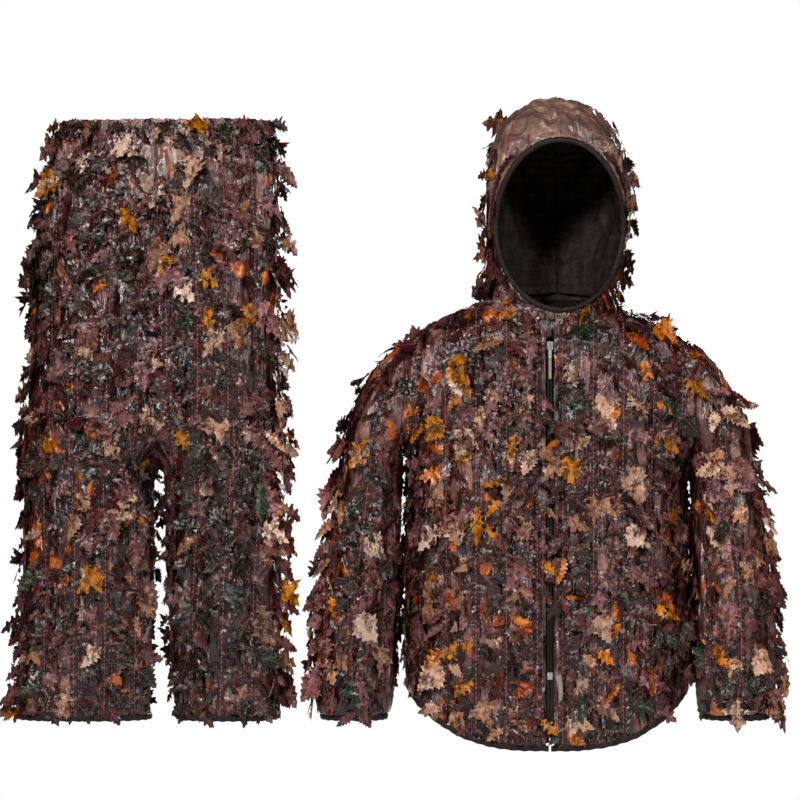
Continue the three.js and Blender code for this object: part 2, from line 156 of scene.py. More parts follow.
def smooth_rows(profile, step):
    """Sections about step apart on a smooth curve through the profile's own."""
    p = np.array(profile, float)
    t = np.concatenate([[0], np.cumsum(np.linalg.norm(np.diff(p[:, :3], axis=0), axis=1))])
    slope = np.gradient(p, t, axis=0)
    s = np.linspace(0, t[-1], int(math.ceil(t[-1] / step)) + 1)
    k = np.clip(np.searchsorted(t, s) - 1, 0, len(t) - 2)
    h = (t[k + 1] - t[k])[:, None]
    u = (s - t[k])[:, None] / h
    return ((2 * u**3 - 3 * u**2 + 1) * p[k] + (u**3 - 2 * u**2 + u) * h * slope[k]
            + (3 * u**2 - 2 * u**3) * p[k + 1] + (u**3 - u**2) * h * slope[k + 1])


def signed_power(v):
    """The superellipse's rule for turning a cosine or sine into a share of its half width."""
    return np.sign(v) * np.abs(v) ** (2 / POWER)


class Shape:
    """A smooth stack of sections that can be asked for any level."""

    def __init__(self, profile, pinch=None):
        rows = smooth_rows(profile, 3)
        rows = rows[np.argsort(rows[:, 0])]
        self.rows, self.pinch = rows, pinch
        self.low, self.high = rows[0, 0], rows[-1, 0]

    def section(self, z):
        return [np.interp(z, self.rows[:, 0], self.rows[:, k]) for k in range(1, 5)]

    def field(self, x, y, z):
        """About how far outside the section a point is, in millimetres, at one level."""
        a, b, cy, cx = self.section(z)
        share = (np.abs((x - cx) / a) ** POWER + np.abs((y - cy) / b) ** POWER) ** (1 / POWER)
        g = (share - 1) * np.minimum(a, b)
        return g + self.pinch(x, z) if self.pinch else g

    def ring(self, turn, z, grow=0.0):
        """The section's points at those angles, that much further out."""
        a, b, cy, cx = (np.array(v) for v in self.section(z))
        level = np.broadcast_to(z, turn.shape)
        x, y = cx + (a + grow) * signed_power(np.cos(turn)), cy + (b + grow) * signed_power(np.sin(turn))
        return np.stack([x, y, level], axis=1)

    def front(self, x, z):
        """The y of the front surface at a place."""
        a, b, cy, cx = self.section(z)
        share = min(abs((x - cx) / a), 1)
        return cy - b * (1 - share**POWER) ** (1 / POWER)


def smoothstep(x, low, high):
    t = np.clip((x - low) / (high - low), 0, 1)
    return t * t * (3 - 2 * t)


def crotch_pinch(x, z):
    """The rise draws in between the legs as it comes down to the crotch."""
    return 84 * smoothstep(-z, 205, -CROTCH_Z + 2) ** 1.5 * np.exp(-(((x - CROTCH_X) / 34) ** 2))


torso = Shape(TORSO)
hood = Shape(HOOD)
sleeves = {"left": Shape(sleeve_profile(1, -8)), "right": Shape(sleeve_profile(-1, 0))}
rise = Shape(RISE, crotch_pinch)
legs = {"left": Shape(leg_profile(LEG_LEFT)), "right": Shape(leg_profile(LEG_RIGHT))}


def union(shapes, x, y, z, soft=16):
    """The field of several shapes joined with a soft fillet; a shape counts only where it has a section."""
    total = None
    for shape in shapes:
        if shape.low <= z <= shape.high:
            g = shape.field(x, y, z)
            if total is None:
                total = g
            else:
                h = np.maximum(soft - np.abs(total - g), 0) / soft
                total = np.minimum(total, g) - h * h * soft / 4
    return total


def outline(shapes, z, centre, start, count=420):
    """The joined section's outline at a level, as seen from a centre inside it, beginning at an angle."""
    angle = start + np.linspace(0, 2 * math.pi, count + 1)
    r = np.linspace(0, 440, 260)
    x = centre[0] + np.outer(np.cos(angle), r)
    y = centre[1] + np.outer(np.sin(angle), r)
    g = union(shapes, x, y, z)
    outside = g > 0
    outside[:, -1] = True
    k = np.maximum(outside.argmax(axis=1), 1)
    row = np.arange(len(angle))
    g0, g1 = g[row, k - 1], g[row, k]
    edge = r[k - 1] + (r[k] - r[k - 1]) * np.clip(-g0 / np.where(g1 - g0 == 0, 1, g1 - g0), 0, 1)
    return np.stack([centre[0] + edge * np.cos(angle), centre[1] + edge * np.sin(angle)], axis=1)


def runs(mask):
    """Where each run of true values in a mask starts and ends."""
    edges = np.flatnonzero(np.diff(np.concatenate([[False], mask, [False]]).astype(int)))
    return list(zip(edges[::2], edges[1::2]))


def longest_run(mask):
    return max(runs(mask), key=lambda run: run[1] - run[0], default=None)


def clip(line, keep):
    """The longest run of a line where keep is above 0, cut to length at both ends."""
    f = keep(line[:, 0], line[:, 1])
    run = longest_run(f > 0)
    if run is None:
        return None
    a, b = run[0], run[1] - 1
    points = [line[a:b + 1]]
    if a > 0:
        t = f[a] / (f[a] - f[a - 1])
        points.insert(0, (line[a] + (line[a - 1] - line[a]) * t)[None])
    if b < len(line) - 1:
        t = f[b] / (f[b] - f[b + 1])
        points.append((line[b] + (line[b + 1] - line[b]) * t)[None])
    return np.concatenate(points)


def lengths(points):
    return np.concatenate([[0], np.cumsum(np.linalg.norm(np.diff(points, axis=0), axis=1))])


def at_lengths(t, s, line):
    """A line's values at the lengths t, when its own points lie at the lengths s."""
    return np.stack([np.interp(t, s, line[:, k]) for k in range(line.shape[1])], axis=-1)


def resample(line, count):
    """A line's points again, evenly spaced along it, with how far along each is."""
    s = lengths(line)
    t = np.linspace(0, s[-1], count)
    return at_lengths(t, s, line), t


# ---- Cloth grids -----------------------------------------------------------------------------------
CELL = 5.5


def levels(shape, top, bottom):
    """Levels from top to bottom, closer together where the outline runs sideways."""
    rows = smooth_rows([[z, *shape.section(z)] for z in np.linspace(bottom, top, 60)], 1.0)
    along = lengths(rows[:, :2])
    t = np.linspace(0, along[-1], int(along[-1] / CELL) + 1)
    return np.interp(t, along, rows[:, 0])[::-1]


def grid_from(rows, width):
    """rows: [(z, line)] from the top down. Gives points (R, N, 3) and how far along its row each is."""
    count = int(width / CELL) + 1
    points, along = [], []
    for z, line in rows:
        if line is None or len(line) < 3:
            continue
        p, s = resample(line, count)
        points.append(np.column_stack([p, np.full(count, z)]))
        along.append(s)
    return np.array(points), np.array(along)


def hem_height(x):
    return -745 + 100 * np.minimum(np.abs(x) / ARMHOLE, 1) ** 3 + 11


def to_hem(points):
    """Slides the lowest rows so that the last one lies on the curved hem line."""
    z = points[..., 2]
    last = z[-1, 0]
    share = smoothstep(-z, 520, -last)
    points[..., 2] = z + (hem_height(points[..., 0]) - last) * share
    return points


def torso_rows(keep, start):
    """The body's outline at each level, cut at the armholes, at the neck and where keep says."""
    rows = []
    for z in levels(torso, 8, -700):
        shapes = [torso, *sleeves.values()] if z > ARMPIT else [torso]

        def inside(x, y):
            f = np.minimum(keep(x, y), ARMHOLE - np.abs(x))
            return np.minimum(f, hood.field(x, y, z) - 0.2) if z > NECK_Z else f

        rows.append((z, clip(outline(shapes, z, (0, -8), start), inside)))
    return rows


def centred(points, along):
    return points, along - along[:, -1:] / 2


def back_grid():
    rows = torso_rows(lambda x, y: y - SEAM_Y, -math.pi / 2)
    points, along = centred(*grid_from(rows, 620))
    return to_hem(points), along


def front_grid(side):
    rows = []
    for z, line in torso_rows(lambda x, y: np.minimum(side * x - ZIP_EDGE, SEAM_Y - y), math.pi / 2):
        starts_at_side = line is not None and abs(line[0, 0]) >= abs(line[-1, 0])
        rows.append((z, line[::-1] if starts_at_side else line))
    points, along = grid_from(rows, 330)
    return to_hem(points), along + np.abs(points[:, :1, 0])


def start_angle(side):
    """Where a sleeve's or leg's outline begins: on its inner side."""
    return 0 if side < 0 else math.pi


def sleeve_grid(name, side):
    sleeve, rows = sleeves[name], []
    for z in [*levels(torso, -76, SLEEVE_TOP)[:-1], *levels(sleeve, SLEEVE_TOP, CUFF - 3)]:
        half, _, _, middle = sleeve.section(z)
        shapes, middle = [sleeve], abs(middle)
        if z > ARMPIT:
            body = torso.section(z)[0] if z > -240 else 0
            reach = middle + half if z <= SLEEVE_TOP else 0
            shapes, middle = [torso, sleeve], (ARMHOLE + max(body, reach)) / 2
        line = outline(shapes, z, (side * middle, -4), start_angle(side))
        if z > ARMPIT:
            cut = clip(line, lambda x, y: side * x - ARMHOLE)
            line = line if cut is None else cut
        rows.append((z, line))
    return centred(*grid_from(rows, 400))


def trouser_grid(name, side):
    leg, rows = legs[name], []
    for z in [*levels(rise, WAIST_TOP - BAND + 4, LEG_TOP)[:-1], *levels(leg, LEG_TOP, LEG_CLOTH_BOTTOM)]:
        if z > CROTCH_Z:
            half, _, _, middle = rise.section(z)
            line = outline([rise, leg], z, ((CROTCH_X + middle + side * half) / 2, 0), start_angle(side))
            line = clip(line, lambda x, y: side * (x - CROTCH_X))
        else:
            line = outline([leg], z, (leg.section(z)[3], 0), start_angle(side))
        rows.append((z, line))
    return centred(*grid_from(rows, 570))


def face_edge(z):
    """Half the width of the face opening at a level."""
    return FACE_W * math.sqrt(max(0.0, 1 - ((z - FACE_Z) / FACE_H) ** 2))


def hood_grid(side):
    turn = np.linspace(-math.pi / 2, math.pi / 2, int(430 / CELL))
    middle = FACE_Z + FACE_H * np.sin(turn)
    dome = levels(hood, 333.5, middle[-1])[:-1]
    zs = [*dome, *middle[::-1], *np.arange(middle[0] - 5, -48, -CELL)]
    rows = []
    for z in zs:
        _, _, cy, cx = hood.section(z)
        line = outline([hood], z, (cx, cy), start_angle(side))
        edge = face_edge(z)
        low = z - 4

        def keep(x, y):
            f = side * (x - HOOD_LEAN) - np.where(y < cy, edge or -SEAM_LAP, -SEAM_LAP)
            if low < 20:
                f = np.minimum(f, torso.field(x, y, low) if low > torso.low else f)
            return f

        line = clip(line, keep)
        if line is not None and line[0, 1] > line[-1, 1]:
            line = line[::-1]
        rows.append((z, line))
    return grid_from(rows, 330)


# ---- Relief ----------------------------------------------------------------------------------------
def noise(points, size, seed):
    """Smooth lattice noise from -1 to 1 with cells of that size, one number or one for each axis."""
    p = np.asarray(points, float) / size
    cell = np.floor(p).astype(np.int64)
    f = p - cell
    f = f * f * (3 - 2 * f)
    total = np.zeros(p.shape[:-1])
    for corner in range(8):
        bit = np.array([corner & 1, corner >> 1 & 1, corner >> 2 & 1])
        c = cell + bit
        h = (c[..., 0] * 73856093) ^ (c[..., 1] * 19349663) ^ (c[..., 2] * 83492791) ^ (seed * 2654435)
        h = (h ^ (h >> 13)) * 1274126177
        value = ((h ^ (h >> 16)) & 0xFFFF) / 32767.5 - 1
        total = total + np.prod(np.where(bit, f, 1 - f), axis=-1) * value
    return total


def unit(v):
    return v / np.maximum(np.linalg.norm(v, axis=-1, keepdims=True), 1e-9)


def facing_out(points, inside):
    """Unit normals of a grid of points, on the side that faces away from inside."""
    n = unit(np.cross(np.gradient(points, axis=1), np.gradient(points, axis=0)))
    return -n if np.mean(np.sum(n * (points - inside), axis=-1)) < 0 else n


def relief(points, along, columns, seed):
    """How far the satin stands off its smooth form: crumples, and a channel at each line of stitches."""
    x, y, z = (points[..., k] for k in range(3))
    ridge = lambda size, k: 1 - 2 * np.abs(noise(points, size, seed + k))
    d = 3.0 * noise(points, np.array([50, 50, 170.0]), 3)
    d = d + 2.4 * ridge(np.array([19, 19, 46.0]), 11) + 1.9 * ridge(np.array([14, 14, 21.0]), 17)
    d = d + 0.7 * noise(points, np.array([8, 8, 11.0]), 23)
    near = np.full(along.shape, 1e3)
    for c in columns:
        near = np.minimum(near, np.abs(along - c))
    pucker = np.exp(-((near / 15) ** 2))
    wave = np.sin(z * 2 * math.pi / 12.5 + 3 * noise(points, 40.0, seed + 5))
    d = d + pucker * (1.5 * wave - 2.2) + 1.6 * (1 - np.exp(-((near / 13) ** 2)))
    ring = np.hypot((x - FACE_X) / FACE_W, (z - FACE_Z) / FACE_H)
    over_face = smoothstep(z, 190, 240) * (x > -200) * smoothstep(-y, -30, 30)
    gathers = np.sin(21 * ring + 2.6 * noise(points, 46.0, 7))
    d = d + 3.2 * over_face * gathers * (0.6 + 0.6 * noise(points, 60.0, 8))
    count = along.shape[1]
    edge = np.minimum(np.arange(count), np.arange(count)[::-1])[None] * CELL
    under_band = np.exp(-(((z + 15) / 34) ** 2)) * (np.hypot(x - HOOD_LEAN, y) < 135)
    return d * smoothstep(edge, -4, 14) * (1 - 0.8 * under_band) - 0.8 - 1.2 * under_band


# ---- Meshes ----------------------------------------------------------------------------------------
def add_mesh(name, points, faces, materials, slots=None, uv=None, colour=None, smooth=True):
    """points are in the suit's millimetres. uv and colour are one row for each point."""
    me = bpy.data.meshes.new(name)
    at = (np.asarray(points, float) * MM + SHIFT).reshape(-1, 3)
    me.from_pydata(at.tolist(), [], [list(f) for f in faces])
    for m in materials:
        me.materials.append(m)
    if slots is not None:
        me.polygons.foreach_set("material_index", np.asarray(slots, np.int32))
    me.polygons.foreach_set("use_smooth", np.full(len(me.polygons), smooth))
    place = me.attributes.new("cloth_place", "FLOAT_VECTOR", "POINT")
    place.data.foreach_set("vector", at.astype(np.float32).ravel())
    if colour is not None:
        tint = me.attributes.new("leaf_colour", "FLOAT_COLOR", "POINT")
        rgba = np.column_stack([colour, np.ones(len(colour))])
        tint.data.foreach_set("color", rgba.astype(np.float32).ravel())
    if uv is not None:
        corner = np.zeros(len(me.loops), np.int32)
        me.loops.foreach_get("vertex_index", corner)
        layer = me.uv_layers.new(name="leaf")
        layer.data.foreach_set("uv", np.asarray(uv, np.float32)[corner].ravel())
    me.update()
    ob = bpy.data.objects.new(name, me)
    bpy.context.scene.collection.objects.link(ob)
    return ob


def grid_faces(rows, count, closed=False):
    """The quads of a grid of points, whose rows may be closed rings."""
    r, c = np.meshgrid(np.arange(rows - 1), np.arange(count - (0 if closed else 1)), indexing="ij")
    a = (r * count + c).ravel()
    b = (r * count + (c + 1) % count).ravel()
    return np.stack([a, a + count, b + count, b], axis=1)


def cloth(name, points, normal, materials, thick=1.2):
    """A piece of cloth of that thickness from a grid of points, lined with the second material."""
    faces = grid_faces(*points.shape[:2])
    a, b, c = (points.reshape(-1, 3)[faces[:, k]] for k in (0, 1, 3))
    spanned = np.cross(b - a, c - a)
    if np.sum(spanned * normal.reshape(-1, 3)[faces[:, 0]], axis=1).mean() < 0:
        faces = faces[:, ::-1]
    faces = faces[np.linalg.norm(spanned, axis=1) > 1e-3]
    ob = add_mesh(name, points, faces, materials)
    solid = ob.modifiers.new("thickness", "SOLIDIFY")
    solid.thickness = thick * MM
    solid.offset = -1
    solid.use_rim = True
    solid.material_offset = 1 if len(materials) > 1 else 0
    return ob


def clean(ob, weld=False):
    """Joins points that lie on each other, or else turns a closed mesh's faces outwards."""
    bm = bmesh.new()
    bm.from_mesh(ob.data)
    if weld:
        bmesh.ops.remove_doubles(bm, verts=bm.verts, dist=1e-6)
    else:
        bmesh.ops.recalc_face_normals(bm, faces=bm.faces)
    bm.to_mesh(ob.data)
    bm.free()


def settle(ob, replaces, body=None):
    if replaces:
        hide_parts(*replaces)
    if body:
        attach(ob, body)


# ---- Materials -------------------------------------------------------------------------------------
def srgb(r, g, b):
    """A linear colour from the usual 0 to 255 numbers."""
    return tuple(((c / 255 + 0.055) / 1.055) ** 2.4 if c > 10 else c / 255 / 12.92 for c in (r, g, b))


class Material:
    """A node material with its Principled shader, and short ways to add and join nodes."""

    def __init__(self, name, **constants):
        self.material = bpy.data.materials.new(name)
        self.material.use_nodes = True
        self.tree = self.material.node_tree
        self.shader = self.tree.nodes["Principled BSDF"]
        for key, value in constants.items():
            self.shader.inputs[key.replace("_", " ")].default_value = value

    def node(self, kind, inputs, **settings):
        made = self.tree.nodes.new("ShaderNode" + kind)
        for key, value in settings.items():
            setattr(made, key, value)
        for key, value in inputs.items():
            if isinstance(value, bpy.types.NodeSocket):
                self.tree.links.new(value, made.inputs[key])
            else:
                made.inputs[key].default_value = value
        return made

    def attribute(self, name, output="Vector"):
        return self.node("Attribute", {}, attribute_name=name).outputs[output]

    def noise(self, place, scale, detail=3.0, rough=0.55, stretch=None, distort=0.0):
        if stretch is not None:
            place = self.node("VectorMath", {0: place, 1: stretch}, operation="MULTIPLY").outputs[0]
        return self.node("TexNoise", {"Vector": place, "Scale": scale, "Detail": detail, "Roughness": rough,
                                      "Distortion": distort}).outputs["Fac"]

    def math(self, operation, a, b=0.0, c=0.0):
        return self.node("Math", {0: a, 1: b, 2: c}, operation=operation).outputs[0]

    def remap(self, value, low, high, new_low=0.0, new_high=1.0):
        return self.node("MapRange", {"Value": value, "From Min": low, "From Max": high, "To Min": new_low,
                                      "To Max": new_high}, interpolation_type="SMOOTHSTEP").outputs[0]

    def ramp(self, value, stops):
        made = self.node("ValToRGB", {"Fac": value})
        while len(made.color_ramp.elements) < len(stops):
            made.color_ramp.elements.new(0.5)
        for element, (at, colour) in zip(made.color_ramp.elements, stops):
            element.position, element.color = at, (*colour, 1)
        return made.outputs["Color"]

    def mix(self, share, a, b, blend="MIX"):
        a, b = ((*v, 1) if isinstance(v, tuple) else v for v in (a, b))
        return self.node("Mix", {0: share, 6: a, 7: b}, data_type="RGBA", blend_type=blend).outputs[2]

    def richer(self, colour):
        """The colour as the dyed satin shows it: more saturated, and a touch towards mauve."""
        deeper = self.node("HueSaturation", {"Color": colour, "Saturation": 1.24}).outputs[0]
        return self.mix(1.0, deeper, (0.98, 0.93, 1.0), "MULTIPLY")

    def bump(self, height, distance, strength=1.0, after=None):
        inputs = {"Height": height, "Distance": distance, "Strength": strength}
        if after is not None:
            inputs["Normal"] = after
        return self.node("Bump", inputs).outputs[0]

    def use(self, **sockets):
        for key, value in sockets.items():
            self.tree.links.new(value, self.shader.inputs[key.replace("_", " ")])
        return self.material


def camo_print(m, place):
    """A printed bark and leaf litter pattern: dark blotches, upright streaks, and scattered orange leaves.
    Its darkness is partly the print's own colour and partly painted shade for the satin seen in the gaps
    between leaf rows.
    """
    parts = m.node("SeparateXYZ", {0: place})
    hood_pale = m.remap(parts.outputs[2], 0.13, 0.23, 0.0, 0.21)
    # Painted highlight: the satin is lifted and paled over the wearer's left sleeve.
    sleeve_painted_highlight = m.remap(parts.outputs[0], 0.24, 0.27, 0.0, 0.035)
    trousers_dark = m.remap(parts.outputs[0], -0.62, -0.42, -0.07, 0.0)
    shift = m.math("ADD", m.math("ADD", hood_pale, sleeve_painted_highlight), trousers_dark)
    # The blotches are offset dark overall: partly print, partly painted shade in the gaps between leaf rows.
    patches = m.noise(place, 13.0, 6.0, 0.62, distort=0.4)
    blotch = m.math("MULTIPLY_ADD", patches, 1.7, m.math("SUBTRACT", shift, 0.39))
    colour = m.ramp(blotch, [(0.32, srgb(20, 8, 8)), (0.42, srgb(50, 26, 26)), (0.49, srgb(84, 51, 49)),
                             (0.56, srgb(114, 81, 76)), (0.66, srgb(156, 124, 110))])
    wine = m.remap(m.noise(place, 9.0, 3.0), 0.50, 0.60, 0.0, 0.7)
    colour = m.mix(wine, colour, srgb(66, 25, 24))
    green = m.remap(m.noise(place, 7.0, 2.0, stretch=(1.0, 1.0, 0.7)), 0.655, 0.70, 0.0, 0.8)
    colour = m.mix(green, colour, srgb(34, 43, 29))
    streak = m.noise(place, 70.0, 4.0, 0.6, stretch=(1.0, 1.0, 0.22))
    colour = m.mix(m.remap(streak, 0.36, 0.52, 0.65, 0.0), colour, srgb(22, 10, 7))
    wander = m.node("TexNoise", {"Vector": place, "Scale": 38.0, "Detail": 3.0}).outputs["Color"]
    moved = m.node("VectorMath", {0: wander, 1: (0.034, 0.034, 0.034), 2: place},
                   operation="MULTIPLY_ADD").outputs[0]
    cells = m.node("TexVoronoi", {"Vector": moved, "Scale": 19.0, "Randomness": 1.0})
    leaf = m.remap(cells.outputs["Distance"], 0.30, 0.36, 1.0, 0.0)
    chosen = m.remap(m.noise(place, 10.0, 1.0), 0.52, 0.56, 0.0, 1.0)
    veins = m.noise(place, 220.0, 2.0, 0.6)
    orange = m.ramp(veins, [(0.3, srgb(120, 43, 16)), (0.5, srgb(186, 90, 33)), (0.68, srgb(213, 131, 64))])
    colour = m.mix(m.math("MULTIPLY", leaf, chosen), colour, orange)
    twig = m.noise(place, 26.0, 3.0, 0.5, stretch=(1.0, 1.0, 0.3))
    twig = m.math("ABSOLUTE", m.math("SUBTRACT", twig, 0.5))
    colour = m.mix(m.remap(twig, 0.004, 0.012, 0.5, 0.0), colour, srgb(167, 114, 94))
    # Lighter and greyer over the top of the hood.
    hood_lightened = m.mix(m.math("MULTIPLY", hood_pale, 1.3), m.richer(colour), srgb(168, 142, 128))
    # The painted highlight mixes the wearer's left sleeve towards a pale mauve.
    return m.mix(m.math("MULTIPLY", sleeve_painted_highlight, 5.0), hood_lightened, srgb(150, 118, 108))


def make_camo():
    m = Material("camo_satin", Specular_IOR_Level=0.9)
    place = m.attribute("cloth_place")
    colour = camo_print(m, place)
    crumple = m.noise(place, 36.0, 2.0, 0.45, stretch=(1.0, 1.0, 0.4), distort=0.6)
    fine = m.noise(place, 120.0, 2.0, 0.5, stretch=(1.0, 1.0, 0.5))
    weave = m.node("TexWave", {"Vector": place, "Scale": 900.0, "Distortion": 0.6}, wave_type="BANDS",
                   bands_direction="DIAGONAL").outputs["Fac"]
    normal = m.bump(crumple, 0.026, 0.8)
    normal = m.bump(fine, 0.0015, 0.25, normal)
    normal = m.bump(weave, 0.0002, 0.3, normal)
    rough = m.remap(m.noise(place, 40.0, 4.0), 0.3, 0.7, 0.22, 0.40)
    return m.use(Base_Color=colour, Roughness=rough, Normal=normal)


def make_leaf():
    """Leaves are cut from the printed satin: one tint each, with a darker print over it and pale veins. Their
    near-black streaks are partly print and partly painted shade, and their brightened pale flecks are partly
    print and partly painted highlight.
    """
    m = Material("leaf_cloth", Specular_IOR_Level=0.38)
    place = m.attribute("cloth_place")
    tint = m.attribute("leaf_colour", "Color")
    uv = m.node("UVMap", {}, uv_map="leaf").outputs[0]
    parts = m.node("SeparateXYZ", {0: uv})
    across, along = parts.outputs[0], parts.outputs[1]
    dark = m.mix(1.0, tint, srgb(96, 70, 62), "MULTIPLY")
    colour = m.mix(m.remap(m.noise(place, 62.0, 5.0, 0.7), 0.41, 0.53, 0.9, 0.0), tint, dark)
    # Near-black streaks: partly print, partly painted shade that deepens the darks.
    streak = m.noise(place, 80.0, 5.0, 0.72, stretch=(1.0, 1.0, 0.35))
    colour = m.mix(m.remap(streak, 0.40, 0.48, 0.88, 0.0), colour, srgb(16, 8, 6))
    # Pale flecks up to 1.8 times the tint: partly print, partly painted highlight in place of glints.
    bright = m.mix(1.0, m.mix(0.12, tint, srgb(226, 196, 172)), (1.8, 1.8, 1.8), "MULTIPLY")
    colour = m.mix(m.remap(m.noise(place, 95.0, 4.0, 0.7), 0.55, 0.63, 0.0, 0.7), colour, bright)
    wide = m.math("ABSOLUTE", across)
    side = m.math("SINE", m.math("MULTIPLY", m.math("SUBTRACT", along, wide), 42.0))
    vein = m.math("MAXIMUM", m.remap(side, 0.86, 0.99), m.remap(wide, 0.008, 0.022, 1.0, 0.0))
    colour = m.mix(m.math("MULTIPLY", vein, 0.26), colour, m.mix(0.32, tint, srgb(222, 186, 150)))
    normal = m.bump(vein, 0.0006, 0.4)
    normal = m.bump(m.noise(place, 42.0, 2.0, 0.4), 0.014, 0.75, normal)
    rough = m.remap(m.noise(place, 60.0, 3.0), 0.3, 0.7, 0.24, 0.46)
    return m.use(Base_Color=m.richer(colour), Roughness=rough, Normal=normal)


def make_plain(name, dark, light, scale, rough, bump, metallic=0.0, stretch=None, **constants):
    """A finish of one material, mottled between two tones, with its own fine relief."""
    m = Material(name, Metallic=metallic, **constants)
    place = m.node("TexCoord", {}).outputs["Object"]
    value = m.noise(place, scale, 4.0, 0.6, stretch=stretch)
    normal = m.bump(m.noise(place, scale * 4, 3.0, 0.6, stretch=stretch), bump, 0.6)
    roughness = m.remap(m.noise(place, scale * 0.4, 3.0), 0.3, 0.7, *rough)
    return m.use(Base_Color=m.mix(m.remap(value, 0.3, 0.7), dark, light), Roughness=roughness, Normal=normal)


def make_woven(name, dark, light, pitch, rough, bump=0.0003, **constants):
    """A tape or webbing: crossing ribs of thread at their real pitch, a little worn and soiled."""
    m = Material(name, **constants)
    place = m.node("TexCoord", {}).outputs["Object"]
    scale = 0.314 / pitch
    ribs = {"Vector": place, "Scale": scale, "Distortion": 0.3}
    along, across = (m.node("TexWave", ribs, bands_direction=way).outputs["Fac"] for way in "ZX")
    weave = m.math("MULTIPLY", along, across)
    soil = m.noise(place, 120.0, 4.0)
    value = m.math("ADD", m.math("MULTIPLY", weave, 0.6), m.math("MULTIPLY", soil, 0.5))
    return m.use(Base_Color=m.mix(m.remap(value, 0.15, 0.85), dark, light),
                 Roughness=m.remap(soil, 0.3, 0.7, rough, rough + 0.15), Normal=m.bump(weave, bump, 0.8))


camo = make_camo()
leafy = make_leaf()
binding_cloth = make_plain("elastic_binding", srgb(14, 9, 7), srgb(44, 29, 23), 160.0, (0.34, 0.55), 0.002,
                           Specular_IOR_Level=0.25)
lining_cloth = make_plain("lining", srgb(20, 14, 11), srgb(44, 33, 27), 90.0, (0.5, 0.7), 0.002,
                          Specular_IOR_Level=0.2)
# Near-black with a green cast: partly the tab's own colour, partly painted shadow of the fold by the throat.
tab_shadow_cloth = make_plain("tab_painted_shadow", srgb(10, 14, 11), srgb(28, 38, 30), 110.0, (0.4, 0.6), 0.004)
thread = make_plain("thread", srgb(92, 76, 68), srgb(150, 132, 120), 600.0, (0.5, 0.7), 0.0002)
tape = make_woven("zip_tape", srgb(14, 12, 11), srgb(48, 40, 36), 0.0007, 0.7)
webbing = make_woven("pale_webbing", srgb(120, 110, 98), srgb(196, 186, 170), 0.0009, 0.6)
dark_metal = make_plain("dark_zip_metal", srgb(46, 40, 36), srgb(84, 76, 68), 500.0, (0.3, 0.5), 0.0001,
                        metallic=0.9)
metal = make_plain("zip_metal", srgb(176, 176, 172), srgb(232, 231, 226), 500.0, (0.26, 0.42), 0.0001,
                   metallic=0.65)

# ---- Leaves ----------------------------------------------------------------------------------------
LEAF_SIDES = [  # half of each outline, from the stalk to the tip: [along, across], as shares of the length
    [(0, .02), (.10, .05), (.13, .19), (.20, .26), (.25, .13), (.31, .12), (.37, .31), (.45, .37), (.47, .21),
     (.55, .13), (.62, .28), (.70, .28), (.72, .14), (.80, .11), (.87, .15), (.93, .06)],
    [(0, .02), (.11, .03), (.09, .23), (.15, .32), (.21, .19), (.27, .27), (.33, .45), (.44, .57), (.46, .41),
     (.53, .39), (.51, .22), (.60, .15), (.70, .27), (.77, .25), (.78, .13), (.89, .08)],
    [(0, .02), (.10, .11), (.15, .20), (.22, .14), (.29, .27), (.36, .17), (.44, .30), (.51, .18), (.58, .27),
     (.65, .15), (.72, .22), (.78, .11), (.85, .14), (.90, .06), (.95, .06), (.98, .02)],
    [(0, .02), (.07, .12), (.05, .26), (.14, .24), (.20, .40), (.30, .36), (.33, .52), (.42, .40), (.50, .46),
     (.55, .27), (.63, .34), (.69, .20), (.77, .24), (.82, .11), (.90, .12), (.95, .04)],
]
SIDE_COUNT = len(LEAF_SIDES[0])
PALETTE = {
    "black": (24, 11, 12), "dark": (50, 26, 27), "umber": (84, 50, 49), "taupe": (114, 78, 75),
    "mauve": (128, 91, 92), "light": (160, 124, 103), "pale": (190, 158, 136), "cream": (214, 188, 168),
    "orange": (214, 122, 50), "amber": (188, 122, 58), "rust": (156, 64, 22), "wine": (80, 32, 42),
    "green": (24, 42, 30),
}
# The deep and dark lists also lean to the dark tints and the pale list to the light ones, as part of the
# painted shade and painted highlight below.
TONES = {  # how often each tint is drawn
    "deep": dict(black=42, dark=34, umber=14, taupe=5, mauve=3, light=2, pale=1.5, amber=1.2, rust=0.5,
                 wine=6, green=3),
    "front": dict(black=15, dark=22, umber=18, taupe=16, mauve=9, light=9, pale=6, cream=2, orange=5,
                  amber=5, rust=2.5, wine=6, green=2),
    "dark": dict(black=26, dark=31, umber=19, taupe=12, mauve=6, light=4, pale=2.4, cream=0.8, orange=0.7,
                 amber=3, rust=0.8, wine=7, green=3),
    "pale": dict(black=12, dark=14, umber=14, taupe=19, mauve=13, light=14, pale=8, cream=5, orange=0.5,
                 amber=1.5, rust=0.6, wine=5, green=1.5),
}
# Painted light: each list's tints are scaled as a whole, darker for painted shade (deep, dark) and lighter
# for painted highlight (pale).
PAINTED_LIGHT_SCALE = {"deep": 0.42, "dark": 0.80, "front": 0.94, "pale": 1.32}
STITCH_PITCH, THREAD_HALF = 8.4, 0.55
SHORTEST_LEAF = 20
MIDDLE_LEAVES = 0.22  # the share of places that also have a leaf on the middle of the strip


def column_path(points, normal, along, distance, margin):
    """The line down a grid at one distance along its rows, over its longest run: points and normals."""
    start, end = along[:, 0], along[:, -1]
    run = longest_run((distance >= start + margin) & (distance <= end - margin))
    if run is None or run[1] - run[0] < 4:
        return None
    rows = np.arange(*run)
    count = along.shape[1]
    at = (distance - start[rows]) / (end[rows] - start[rows]) * (count - 1)
    k = np.clip(at.astype(int), 0, count - 2)
    f = (at - k)[:, None]
    p, n = (field[rows, k] * (1 - f) + field[rows, k + 1] * f for field in (points, normal))
    return p, unit(n)


